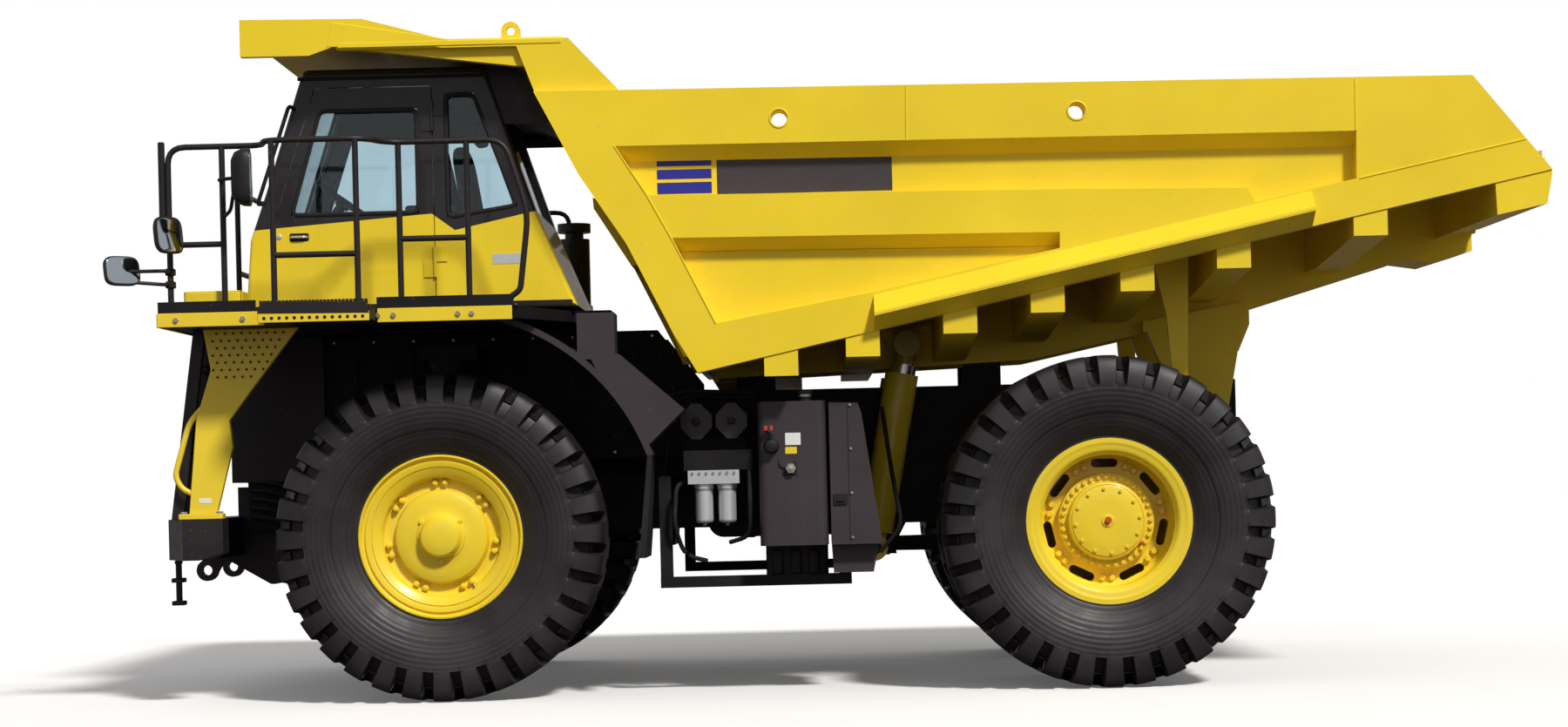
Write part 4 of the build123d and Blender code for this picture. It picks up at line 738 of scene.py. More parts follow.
@dataclass(frozen=True)
class Pane:
    """Clear or silvered glass with a faint film of dust."""

    name: str
    colour: Colour
    rough: float = 0.03
    clear: float = 1.0
    metal: float = 0.0
    film_colour: Colour = (0.60, 0.68, 0.70)
    film_most: float = 0.25
    index: float = 1.45

    def material(self) -> bpy.types.Material:
        """The glass as a material.

        Returns:
            The material.
        """
        bench = NodeBench(self.name)
        film = bench.ranged(bench.noise(5.0, 5.0), 0.45, 0.75, 0.0, self.film_most)
        bench.dial("Base Color", bench.blended(film, self.colour, self.film_colour))
        haze = bench.sum("MULTIPLY", film, 0.1)
        bench.dial("Roughness", bench.sum("ADD", haze, self.rough))
        bench.dial("Transmission Weight", self.clear)
        bench.dial("Metallic", self.metal)
        bench.dial("IOR", self.index)
        bench.height(bench.noise(30.0, 1.0), 0.01)
        return bench.material


YELLOW: Colour = (0.86, 0.63, 0.022)
CHARCOAL: Colour = (0.045, 0.036, 0.042)
BLACK: Colour = (0.018, 0.014, 0.016)
PITCH: Colour = (0.008, 0.007, 0.009)
SOOT: Colour = (0.011, 0.010, 0.011)
STEEL: Colour = (0.62, 0.62, 0.63)


class Palette:
    """Every finish of the truck as a material."""

    def __init__(self) -> None:
        """Makes the materials once."""
        self.paints()
        self.darks()
        self.metals()
        self.marks()
        self.panes()
        self.tyre = {
            x: TreadRubber(
                f"tyre_rubber_{word}",
                (0.013, 0.010, 0.012),
                0.48,
                centre_x=x,
                dust=0.20,
                dust_colour=(0.11, 0.09, 0.10),
                bump=0.22,
                grain=160.0,
                scuff=0.06,
                gloss=0.45,
            ).material()
            for x, word in ((FRONT_AXLE, "front"), (REAR_AXLE, "rear"))
        }

    def paints(self) -> None:
        """Yellow paints of wheels, tipping body, cab and hood, and the worn bed."""
        self.yellow = Finish("yellow_paint", YELLOW, 0.33, coat=0.35, bump=0.03).material()
        wear = {"grain": 90.0, "dust": 0.10, "scuff": 0.25, "gloss": 0.3}
        self.body = Finish("body_paint", YELLOW, 0.42, bump=0.05, **wear).material()
        wear = {"dust": 0.5, "scuff": 0.8, "scuff_colour": (0.3, 0.27, 0.24), "spread": 0.2}
        self.bed = Finish("bed_steel", (0.50, 0.36, 0.05), 0.55, **wear).material()
        wear = {"bump": 0.02, "dust": 0.03, "scuff": 0.05, "gloss": 0.3}
        self.cab = TwoTone("cab_paint", YELLOW, 0.32, coat=0.3, **wear).material()
        split = {"paint": YELLOW, "axis": "Y", "line": -0.95}
        self.hood = SplitPaint("hood_paint", BLACK, 0.38, dust=0.06, **split).material()

    def darks(self) -> None:
        """Black and charcoal paints, rubber, plastic and seat cloth."""
        self.black = Finish("black_paint", BLACK, 0.42, dust=0.04, gloss=0.3).material()
        self.charcoal = Finish("charcoal_paint", CHARCOAL, 0.4, dust=0.03, scuff=0.08, gloss=0.3).material()
        self.frame = Finish("frame_paint", PITCH, 0.55, dust=0.03, bump=0.12, gloss=0.2).material()
        rubber: Colour = (0.010, 0.009, 0.010)
        self.rubber = Finish("moulded_rubber", rubber, 0.7, dust=0.06, bump=0.2, gloss=0.3).material()
        self.plastic = Finish("black_plastic", SOOT, 0.5, dust=0.03, bump=0.15, gloss=0.3).material()
        weave = {"grain": 420.0, "bump": 0.5, "dust": 0.05, "spread": 0.15}
        self.fabric = Finish("seat_fabric", (0.025, 0.025, 0.032), 0.92, **weave).material()

    def metals(self) -> None:
        """Hoist rods and stages, bolts and filter cans."""
        self.rod = SplitPaint("hoist_rod", STEEL, 0.18, metal=1.0, dust=0.03).material()
        drawn = {"stretch": (4, 4, 0.4), "bump": 0.03, "dust": 0.05}
        self.steel = Finish("polished_steel", STEEL, 0.16, metal=1.0, **drawn).material()
        self.zinc = Finish("zinc_bolt", (0.55, 0.53, 0.47), 0.35, metal=0.9, bump=0.1).material()
        self.aluminium = Finish("aluminium", (0.72, 0.73, 0.75), 0.34, metal=0.6, grain=300.0).material()

    def marks(self) -> None:
        """Stripes, blank panel, blank labels and caps."""
        self.blue = Finish("blue_stripe", (0.022, 0.026, 0.30), 0.35, dust=0.04, scuff=0.05).material()
        self.panel = Finish("charcoal_panel", (0.05, 0.04, 0.048), 0.42, dust=0.04, scuff=0.05).material()
        self.white = Finish("blank_label", (0.8, 0.8, 0.78), 0.5, dust=0.05, scuff=0.05).material()
        self.red = Finish("red_cap", (0.5, 0.05, 0.02), 0.4).material()

    def panes(self) -> None:
        """Lamp lenses, window glass and mirror glass."""
        self.lens = Pane("lamp_lens", (0.85, 0.87, 0.9), clear=0.6).material()
        self.glass = Pane("cab_glass", (0.62, 0.75, 0.80), rough=0.0).material()
        silver: Colour = (0.62, 0.68, 0.76)
        self.mirror = Pane("mirror_glass", silver, rough=0.08, clear=0.0, metal=1.0).material()


@dataclass
class Solids:
    """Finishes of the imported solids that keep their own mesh: names of the nodes under each finish."""

    palette: Palette
    plan: dict[str, str] = field(
        default_factory=lambda: {
            "body": "body_side_left body_side_right body_canopy body_keels body_ribs body_front_wall"
            " spill_guards rock_ejectors",
            "bed": "body_floor",
            "yellow": "rims_rear_left rims_rear_right hoist_barrel_left hoist_barrel_right",
            "hood": "engine_hood",
            "charcoal": "hydraulic_tank battery_box fuel_tank air_tanks front_fenders",
            "frame": "main_frame frame_crossmembers equipment_brackets front_lower_arms rear_axle"
            " suspension_cylinders powertrain knuckle_left knuckle_right side_guards front_deck",
            "black": "radiator_grille cab_rear_guard front_bumper",
            "cab": "cab_lower cab_upper cab_door",
            "glass": "cab_glass door_glass",
            "rubber": "mud_flaps body_pads",
            "steel": "hoist_stage_left hoist_stage_right",
            "rod": "hoist_rod_left hoist_rod_right",
            "aluminium": "filter_bank",
        }
    )

    def dress(self) -> None:
        """Puts each finish into the material slot of its nodes."""
        for finish, words in self.plan.items():
            material = getattr(self.palette, finish)
            names = words.split()
            for name in names:
                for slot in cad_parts[name].material_slots:
                    slot.material = material
            LOG.info("%s: %d solids", finish, len(names))


@dataclass
class Tyre:
    """Rock tyre: a ring of lugs with rounded edges over a bulged sidewall."""

    lugs: int = 32
    crown: tuple[tuple[float, float, float], ...] = (
        (0.000, 1.0650, 0.000), (0.040, 1.0650, 0.000), (0.075, 1.0648, 0.030),
        (0.140, 1.0642, 0.055), (0.200, 1.0625, 0.070), (0.245, 1.0585, 0.082),
        (0.272, 1.0500, 0.090), (0.289, 1.0350, 0.096), (0.303, 1.0080, 0.096),
        (0.314, 0.9750, 0.090), (0.321, 0.9400, 0.076), (0.325, 0.9080, 0.056),
        (0.327, 0.8850, 0.036), (0.327, 0.8740, 0.024), (0.327, 0.8680, 0.000),
        (0.326, 0.8200, 0.000), (0.322, 0.7800, 0.000), (0.315, 0.7400, 0.000),
        (0.306, 0.7080, 0.000), (0.302, 0.6980, 0.000), (0.293, 0.6930, 0.000),
        (0.286, 0.6700, 0.000), (0.276, 0.6400, 0.000), (0.262, 0.6050, 0.000),
        (0.243, 0.5780, 0.000), (0.224, 0.5560, 0.000), (0.2165, 0.5450, 0.000),
        (0.2165, 0.5350, 0.000), (0.188, 0.5330, 0.000), (0.186, 0.4470, 0.000),
    )
    top_gap: Pair = (0.15, 0.215)
    foot_gap: Pair = (0.09, 0.150)
    stagger: float = 0.5
    chamfer: float = 0.022
    chamfer_depth: float = 0.16
    shoulder: float = 0.3
    plain_middle: float = 0.12
    heart: Pair = (0.0, 0.75)

    def rings(self, centre: Array) -> Array:
        """Rings of the tyre round its axle.

        A point is the section's own point moved inwards along its normal by the groove's depth where the
        angle lies in a groove. Each lug takes nine angles: four on the lug, two chamfers and three on the
        floor. The inner half's lugs are set off by half a step, blended over the plain middle of the tread.

        Args:
            centre: Middle of the tyre.

        Returns:
            One ring of the section's points for each angle.
        """
        half = np.array(self.crown)
        left = half[::-1]
        section = np.concatenate([left, half[1:] * np.array([-1.0, 1.0, 1.0])])
        slope = unit(np.gradient(section[:, :2], axis=0))
        inward = np.stack([slope[:, 1], -slope[:, 0]], axis=1)
        outside = np.sum(inward * (section[:, :2] - self.heart), axis=1) > 0
        inward *= np.where(outside, -1, 1)[:, None]
        out = np.clip(np.abs(section[:, 0]) / self.shoulder, 0, 1)
        top = self.top_gap[0] + (self.top_gap[1] - self.top_gap[0]) * out**2
        foot = self.foot_gap[0] + (self.foot_gap[1] - self.foot_gap[0]) * out**2
        edge, floor = 0.5 - top, 0.5 - foot
        chamfer = edge + self.chamfer
        middle = np.full_like(edge, 0.5)
        lug = [-edge, -edge / 3, edge / 3, edge, chamfer]
        lug_share = np.stack([*lug, floor, middle, 1 - floor, 1 - chamfer])
        slope_share = self.chamfer_depth
        depth_share = np.array([0.0, 0.0, 0.0, 0.0, slope_share, 1.0, 1.0, 1.0, slope_share])
        blend = np.clip(0.5 - section[:, 0] / self.plain_middle, 0, 1)
        lug_share = lug_share + self.stagger * blend**2 * (3 - 2 * blend)
        turn = (np.arange(self.lugs)[:, None, None] + lug_share[None]) * 2 * math.pi / self.lugs
        turn = turn.reshape(-1, len(section))
        depth = np.tile(depth_share, self.lugs)[:, None] * section[None, :, 2]
        along = section[None, :, 0] + depth * inward[None, :, 0]
        radius = section[None, :, 1] + depth * inward[None, :, 1]
        return np.stack([radius * np.sin(turn), along, radius * np.cos(turn)], axis=-1) + centre

    def fit(self, palette: Palette) -> None:
        """Builds the tyres of all four wheel sets.

        Args:
            palette: The truck's materials.
        """
        for side in Side:
            for axle, name, body, places in (
                (FRONT_AXLE, "tyre_front", "wheel_front", (FRONT_TYRE_Y,)),
                (REAR_AXLE, "tyres_rear", "wheels_rear", (OUTER_TYRE_Y, INNER_TYRE_Y)),
            ):
                name, body = f"{name}_{side.word}", f"{body}_{side.word}"
                skin = Skin()
                for y in places:
                    skin.add(self.rings(np.array([axle, y * side.value, AXLE_HEIGHT])), joined=True)
                skin.build(f"treaded_{name}", body, "tyre", [palette.tyre[axle]], (name,))


@dataclass
class FrontWheel:
    """Front rim and hub: rolled lip, shallow dish, pairs of nuts and a domed cap."""

    side: Side
    nut_pairs: int = 7
    nut_circle: float = 0.350
    nut_face: float = 0.104
    nut_start: float = 0.02
    nut_spacing: float = 0.092
    washer: Pair = (0.027, 0.008)
    nut: Pair = (0.023, 0.026)
    stud: Profile = ((0.03, 0.013), (0.042, 0.013), (0.046, 0.010))
    screw_circle: float = 0.160
    screw_face: float = 0.184
    valve_place: Pair = (-2.55, 0.37)
    profile: Profile = (
        (-0.160, 0.112), (-0.160, 0.296), (0.056, 0.300), (0.060, 0.385), (0.085, 0.4245),
        (-0.205, 0.425), (-0.216, 0.432), (-0.216, 0.528), (-0.211, 0.533), (-0.192, 0.533),
        (-0.188, 0.525), (-0.188, 0.4457), (0.188, 0.4457), (0.188, 0.525), (0.192, 0.533),
        (0.210, 0.533), (0.216, 0.528), (0.217, 0.518), (0.211, 0.512), (0.192, 0.508),
        (0.188, 0.500), (0.191, 0.492), (0.204, 0.486), (0.201, 0.460), (0.198, 0.453),
        (0.186, 0.450), (0.186, 0.447), (0.194, 0.444), (0.186, 0.426), (0.172, 0.398),
        (0.164, 0.388), (0.152, 0.383), (0.118, 0.380), (0.107, 0.374), (0.104, 0.364),
        (0.104, 0.316), (0.106, 0.309), (0.146, 0.301), (0.160, 0.292), (0.170, 0.268),
        (0.177, 0.220), (0.181, 0.175), (0.186, 0.158), (0.198, 0.152), (0.202, 0.140),
        (0.240, 0.131), (0.257, 0.118), (0.266, 0.090), (0.270, 0.050), (0.271, 0.012),
    )

    def build(self, palette: Palette) -> None:
        """Builds rim, hub, nuts and the cap's three screws.

        Args:
            palette: The truck's materials.
        """
        outward = ACROSS * self.side.value
        centre = np.array([FRONT_AXLE, FRONT_TYRE_Y * self.side.value, AXLE_HEIGHT])
        skin = Skin().add(turned(self.profile, centre, outward, ROUND_SIDES))
        middle = np.arange(self.nut_pairs) * 2 * math.pi / self.nut_pairs + self.nut_start
        angles = np.concatenate([middle - self.nut_spacing, middle + self.nut_spacing])
        seats = spun(angles, centre + self.nut_face * outward, self.nut_circle)
        skin.add(bolts(seats, outward, *self.washer))
        skin.add(bolts(seats + 0.006 * outward, outward, *self.nut))
        skin.add(seats[:, None, None] + turned(self.stud, np.zeros(3), outward, 10))
        screws = spun(np.array([0.9, -0.9, math.pi]), centre + self.screw_face * outward, self.screw_circle)
        skin.add(bolts(screws, outward, 0.016, 0.02))
        angle, radius = self.valve_place
        foot = spun(np.array([angle]), centre + 0.1 * outward, radius)[0]
        valve = [foot, foot + outward * 0.05, foot + outward * 0.085 - 0.02 * UP]
        skin.add(tube(valve, 0.007, 0.01, 8), 1)
        names = (f"rim_front_{self.side.word}", f"hub_front_{self.side.word}")
        body = f"wheel_front_{self.side.word}"
        finishes = [palette.yellow, palette.zinc]
        skin.build(f"front_wheel_{self.side.word}", body, "yellow_paint", finishes, names)


@dataclass
class RearHub:
    """Final drive of a rear wheel set, its bolt rings, and the nuts and lock ring of the outer rim."""

    side: Side
    flange_bolts: int = 36
    flange_circle: float = 0.284
    cover_bolts: int = 12
    cover_circle: float = 0.208
    nut_pairs: int = 7
    nut_circle: float = 0.368
    nut_spacing: float = 0.085
    disc_faces: Pair = (-0.040, -0.662)
    washer: Pair = (0.027, 0.008)
    nut: Pair = (0.022, 0.026)
    plug_place: Pair = (-2.18, 0.258)
    plug: Profile = ((0.0, 0.016), (0.014, 0.016), (0.016, 0.012))
    profile: Profile = (
        (-0.862, 0.195), (-0.862, 0.305), (-0.855, 0.310), (0.026, 0.310), (0.037, 0.307),
        (0.040, 0.301), (0.040, 0.262), (0.044, 0.255), (0.090, 0.250), (0.097, 0.245),
        (0.100, 0.238), (0.101, 0.234), (0.096, 0.233), (0.096, 0.231), (0.105, 0.230),
        (0.108, 0.224), (0.110, 0.120), (0.111, 0.042), (0.118, 0.038), (0.119, 0.026),
        (0.112, 0.020),
    )
    lock_ring: Profile = (
        (0.186, 0.437), (0.201, 0.447), (0.206, 0.455), (0.2085, 0.470), (0.211, 0.488),
        (0.206, 0.494), (0.196, 0.490), (0.184, 0.447),
    )

    def build(self, palette: Palette) -> None:
        """Builds the hub and what is bolted to it.

        Args:
            palette: The truck's materials.
        """
        outward = ACROSS * self.side.value
        centre = np.array([REAR_AXLE, OUTER_TYRE_Y * self.side.value, AXLE_HEIGHT])
        skin = Skin().add(turned(self.profile, centre, outward, ROUND_SIDES))
        skin.add(turned([(0.108, 0.021), (0.132, 0.020), (0.136, 0.016)], centre, outward, 6), 1)
        flange = np.arange(self.flange_bolts) * 2 * math.pi / self.flange_bolts
        seats = spun(flange, centre + 0.038 * outward, self.flange_circle)
        skin.add(bolts(seats, outward, 0.0155, 0.022))
        cover = np.arange(self.cover_bolts) * 2 * math.pi / self.cover_bolts + 0.1
        seats = spun(cover, centre + 0.106 * outward, self.cover_circle)
        skin.add(bolts(seats, outward, 0.0125, 0.014))
        middle = (np.arange(self.nut_pairs) + 0.5) * 2 * math.pi / self.nut_pairs
        angles = np.concatenate([middle - self.nut_spacing, middle + self.nut_spacing])
        for face in self.disc_faces:
            seats = spun(angles, centre + face * outward, self.nut_circle)
            skin.add(bolts(seats, outward, *self.washer))
            skin.add(bolts(seats + 0.006 * outward, outward, *self.nut))
        angle, radius = self.plug_place
        seat = spun(np.array([angle * self.side.value]), centre + 0.042 * outward, radius)[0]
        skin.add(turned(self.plug, seat, outward, 12), 1)
        body = f"wheels_rear_{self.side.word}"
        name = f"hub_rear_{self.side.word}"
        finishes = [palette.yellow, palette.red]
        skin.build(f"final_drive_{self.side.word}", body, "yellow_paint", finishes, (name,))
        ring = Skin().add(hoop(self.lock_ring, centre, outward, ROUND_SIDES), joined=True)
        ring.build(f"lock_ring_{self.side.word}", body, "yellow_paint", [palette.yellow])


@dataclass
class Handrails:
    """Bent tube rails round the deck, with bolted feet under their posts."""

    deck: float = 2.514
    top: float = 3.565
    edge: float = 2.40
    gate: float = 2.65
    front: float = 1.60
    radius: float = 0.019

    def left(self) -> list[list[Point]]:
        """Runs of the left rails, measured from the front axle.

        Returns:
            Corner points of each run.
        """
        low, top, edge, gate = self.deck, self.top, self.edge, self.gate
        outer = [(self.front, edge, low), (self.front, edge, top), (1.0, edge, top), (0.95, gate, top)]
        outer += [(0.32, gate, top), (0.22, edge, top), (-0.52, edge, top), (-0.66, edge, 3.1)]
        outer += [(-0.60, edge, low + 0.10), (-0.535, edge, low + 0.06), (-0.535, edge, low)]
        runs = [outer]
        runs += [[(x, edge, low), (x, edge, top)] for x in (1.26, 0.15, -0.28)]
        runs += [[(x, gate, low), (x, gate, top)] for x in (0.90, 0.38)]
        runs += [[(self.front, edge, 2.95), (1.26, edge, 2.95)], [(0.90, gate, 2.85), (0.38, gate, 2.85)]]
        return runs + [[(0.15, edge, 2.955), (-0.28, edge, 2.955)]]

    def right(self) -> list[list[Point]]:
        """Runs of the right rails and of the rail across the nose, measured from the front axle.

        Returns:
            Corner points of each run.
        """
        low, top, edge, nose = self.deck, self.top, -self.edge, self.top - 0.06
        runs = [[(-0.5, edge, low), (-0.5, edge, top), (self.front, edge, top), (self.front, edge, low)]]
        runs += [[(x, edge, low), (x, edge, top)] for x in (1.26, 0.4)]
        runs += [[(-0.5, edge, 2.99), (self.front, edge, 2.99)]]
        runs += [[(self.front, edge, z), (self.front, 0.3, z)] for z in (nose, 2.93)]
        return runs + [[(self.front, y, low), (self.front, y, nose)] for y in (0.3, -1.05)]

    def build(self, palette: Palette) -> None:
        """Builds the tubes and feet.

        Args:
            palette: The truck's materials.
        """
        skin = Skin()
        runs = self.left() + self.right()
        for run in runs:
            skin.add(tube(from_front(run), self.radius, 0.11))
        feet = {point for run in runs for point in run if abs(point[2] - self.deck) < 1e-6}
        centres = from_front(sorted(feet))
        plate = block((-0.045, -0.032, 0.0), (0.045, 0.032, 0.01), 0.003)
        skin.add(centres[:, None, None] + plate)
        for shift in (-0.033, 0.033):
            skin.add(bolts(centres + [shift, 0.0, 0.01], UP, 0.008, 0.007), 1)
        skin.build("bent_handrails", "chassis", "black_paint", [palette.black, palette.zinc], ("handrails",))


@dataclass
class Mirrors:
    """Tall, low and round mirrors on both sides, with their arms and the mast at the front corner."""

    edge: float = 2.40
    reach: float = 1.60
    rim_height: float = 0.006

    def panel(
        self, centre: Point | Array, facing: Point, width: float, height: float, depth: float
    ) -> tuple[Array, Array]:
        """Rounded housing and its glass.

        Both are superellipses carried along the facing direction: |x/a|^4 + |y/b|^4 = 1.

        Args:
            centre: Middle of the glass.
            facing: Direction that the glass faces.
            width: Width of the housing.
            height: Its height.
            depth: Its depth behind the glass.

        Returns:
            Rings of the housing and of the glass.
        """
        turn = np.linspace(0, 2 * math.pi, 40, endpoint=False)
        shape = np.stack([np.cos(turn), np.sin(turn)], axis=1)
        shape = np.sign(shape) * np.abs(shape) ** 0.5 * np.array([width / 2, height / 2])
        facing = unit(np.array(facing, float))
        across = unit(np.cross(UP, facing))
        rise = np.cross(facing, across)
        levels = np.array([[-1.0, 0.62], [-0.8, 0.86], [-0.4, 0.98], [0.0, 1.0], [0.0, 0.97]])
        levels[:, 0] *= depth
        levels[-1, 0] = self.rim_height
        glass = np.array([[0.0, 0.9], [0.009, 0.9], [0.010, 0.88]])

        def rings(table: Array) -> Array:
            """Rings at several levels.

            Args:
                table: Rows of distance along the facing direction and share of the shape's size.

            Returns:
                Rings of points.
            """
            flat = table[:, 1, None, None] * shape
            spread = flat[..., :1] * across + flat[..., 1:] * rise
            return np.array(centre) + table[:, 0, None, None] * facing + spread

        return rings(levels), rings(glass)

    def build(self, palette: Palette) -> None:
        """Builds the mirrors.

        Args:
            palette: The truck's materials.
        """
        skin = Skin()
        y = self.edge
        x = self.reach
        makes = [
            ((1.045, y + 0.21, 3.343), (-1.0, -0.12, 0.0), 0.185, 0.36, 0.11),
            ((1.865, y + 0.155, 2.785), (-0.60, 0.78, 0.20), 0.235, 0.19, 0.06),
            ((1.565, y + 0.16, 3.00), (-0.80, 0.60, 0.12), 0.215, 0.235, 0.05),
        ]
        for centre, facing, width, height, depth in makes:
            housing, glass = self.panel(from_front(centre), facing, width, height, depth)
            skin.mirrored(housing).mirrored(glass, 1)
        arms = [
            [(1.15, y + 0.18, 3.343), (1.26, y + 0.12, 3.343), (1.26, y + 0.015, 3.343)],
            [(1.15, y + 0.20, 3.25), (1.19, y + 0.10, 3.15), (1.25, y + 0.015, 3.12)],
            [(1.90, y + 0.13, 2.78), (x, y + 0.12, 2.78), (x, y + 0.015, 2.78)],
            [(1.89, y + 0.14, 2.72), (x + 0.04, y + 0.06, 2.70), (x, y + 0.015, 2.70)],
            [(1.58, y + 0.14, 3.01), (x, y + 0.06, 3.01), (x, y + 0.015, 3.01)],
        ]
        for arm in arms:
            skin.mirrored(tube(from_front(arm), 0.012, 0.04, 10))
        for height in (2.70, 2.78, 3.01):
            clamp = [(x - 0.03, y - 0.03, height - 0.022), (x + 0.03, y + 0.03, height + 0.022)]
            skin.mirrored(block(*from_front(clamp), 0.006))
        skin.add(block(*from_front([(x + 0.02, y - 0.02, 3.05), (x + 0.06, y + 0.02, 3.6)]), 0.006))
        skin.build("mirror_set", "chassis", "black_paint", [palette.plastic, palette.mirror], ("mirrors",))


@dataclass
class Nose:
    """Lamps in the bumper, the bumper's bolts, and the ladder side of the front."""

    bumper_face: float = 1.826
    deck: float = 2.441
    foot: float = 1.215
    lamp_places: Pair = (0.9, 1.18)
    lamp_size: Pair = (0.2, 0.14)
    lamp_bottom: float = 1.02
    column_plane: Pair = (1.90, 1.95)
    hole_rows: int = 7
    hole_columns: int = 12
    tread_rise: float = 0.265
    ladder_lean: float = 0.139
    bolt_places: tuple[float, ...] = (0.62, 0.76, 1.46, 1.58)

    def lamps(self, palette: Palette) -> None:
        """Two lamps on each side: a bezel, a lens and the reflector's bowl behind it.

        Args:
            palette: The truck's materials.
        """
        skin = Skin()
        face = FRONT_AXLE + self.bumper_face
        width, height = self.lamp_size
        for y in self.lamp_places:
            outline = rectangle((y, self.lamp_bottom), (y + width, self.lamp_bottom + height), 0.035)
            skin.mirrored(slab(outline, Plane.FRONT, face - 0.01, face + 0.014, 0.004))
            skin.mirrored(slab(drawn_in(outline, 0.014), Plane.FRONT, face, face + 0.022, 0.006), 1)
            middle = np.array([face + 0.016, y + width / 2, self.lamp_bottom + height / 2])
            bowl = [(0.0, 0.05), (0.004, 0.047), (0.006, 0.03), (0.0075, 0.012)]
            skin.mirrored(turned(bowl, middle, np.array([1.0, 0, 0]), 24), 2)
        finishes = [palette.plastic, palette.lens, palette.aluminium]
        skin.build("lamp_set", "chassis", "aluminium", finishes, ("headlamps",))

    def column(self, skin: Skin) -> None:
        """Yellow column from the bumper to the deck: two cheeks, a folded face and rows of grip holes, each
        a raised collar round a black disc painted as the hole's shade.

        Args:
            skin: Mesh that it is added to; finish 0 is yellow.
        """
        outline = [(1.503, self.deck), (1.459, 2.178), (1.562, 1.855), (1.62, 1.251), (1.442, 1.251)]
        outline += [(1.33, 1.68), (1.348, 1.849), (1.197, 2.048), (0.89, self.deck)]
        flat = side_view(outline)
        skin.add(slab(flat, Plane.SIDE, *self.column_plane, 0.004))
        base = side_view(rectangle((1.40, 1.86), (1.69, 1.97), 0.02))
        skin.add(slab(base, Plane.PLAN, self.foot, self.foot + 0.036, 0.004))
        seats = [(FRONT_AXLE + x, y, self.foot + 0.036) for x in (1.43, 1.66) for y in (1.875, 1.955)]
        skin.add(bolts(seats, UP, 0.015, 0.014), 2)
        grid = np.mgrid[0 : self.hole_rows, 0 : self.hole_columns].reshape(2, -1).T
        rows = [(0.93 + 0.054 * (col + 0.5 * (row % 2)), 2.13 + 0.047 * row) for row, col in grid]
        spots = np.array([s for s in rows if s[0] > 1.235 - (s[1] - 2.03) * 0.79 and s[0] < 1.45])
        ring = hoop([(0.0, 0.019), (0.004, 0.017), (0.004, 0.009), (0.0, 0.008)], np.zeros(3), ACROSS, 14)
        places = np.stack([spots[:, 0] + FRONT_AXLE, np.full(len(spots), 1.949), spots[:, 1]], axis=1)
        skin.add(places[:, None, None] + ring, joined=True)
        # Painted shade: a flat black disc in each collar stands for the dark of the hole.
        hole_shade_disc = turned([(-0.002, 0.009), (0.0015, 0.009)], np.zeros(3), ACROSS, 14)
        skin.add(places[:, None, None] + hole_shade_disc, 1)
        label = side_view(rectangle((1.475, 1.318), (1.555, 1.350), 0.004))
        skin.add(slab(label, Plane.SIDE, 1.949, 1.952, 0.0008), 3)
        grip = [(1.555, 1.925, 1.36), (1.67, 1.925, 1.414), (1.712, 1.925, 1.498), (1.612, 1.925, 1.84)]
        skin.add(tube(from_front(grip + [(1.53, 1.925, 1.93)]), 0.019, 0.07))

    def ladder(self, skin: Skin) -> None:
        """Black ladder of two stiles with ribbed treads, and the step that hangs below the bumper.

        Args:
            skin: Mesh that it is added to; finish 1 is black.
        """
        stile = [(1.68, self.foot), (1.76, self.foot), (1.59, self.deck), (1.51, self.deck)]
        for y in (1.56, 1.81):
            skin.add(slab(side_view(stile), Plane.SIDE, y, y + 0.04, 0.004), 1)
        for step in range(4):
            z = self.foot + 0.165 + self.tread_rise * step
            x = FRONT_AXLE + 1.70 - (z - self.foot) * self.ladder_lean
            skin.add(block((x - 0.06, 1.59, z), (x + 0.04, 1.82, z + 0.028), 0.004), 1)
            for bar in np.linspace(x - 0.05, x + 0.03, 5):
                skin.add(block((bar - 0.004, 1.60, z + 0.027), (bar + 0.004, 1.81, z + 0.035), 0.0015), 1)
        face = FRONT_AXLE + self.bumper_face
        for z in (0.65, 0.80):
            skin.add(block((face - 0.086, 1.53, z), (face - 0.006, 1.64, z + 0.03), 0.005), 1)
        for y in (1.545, 1.625):
            hung = [(face - 0.046, y, 0.66), (face - 0.046, y, 0.80), (face - 0.046, y, 0.96)]
            skin.add(tube(hung, 0.012, 0.01, 10), 1)
            skin.add(bolts([(face - 0.046, y, 0.942)], -UP, 0.018, 0.02), 1)

    def build(self, palette: Palette) -> None:
        """Builds lamps, column and ladder.

        Args:
            palette: The truck's materials.
        """
        self.lamps(palette)
        skin = Skin()
        self.column(skin)
        self.ladder(skin)
        finishes = [palette.yellow, palette.black, palette.zinc, palette.white]
        skin.build("ladder_and_column", "chassis", "yellow_paint", finishes, ("access_ladder",))
        face = FRONT_AXLE + self.bumper_face
        skin = Skin()
        for y in self.bolt_places:
            skin.mirrored(bolts([(face - 0.001, y, z) for z in (1.02, 1.16)], [1, 0, 0], 0.016, 0.014))
        skin.build("bumper_bolts", "chassis", "black_paint", [palette.zinc])


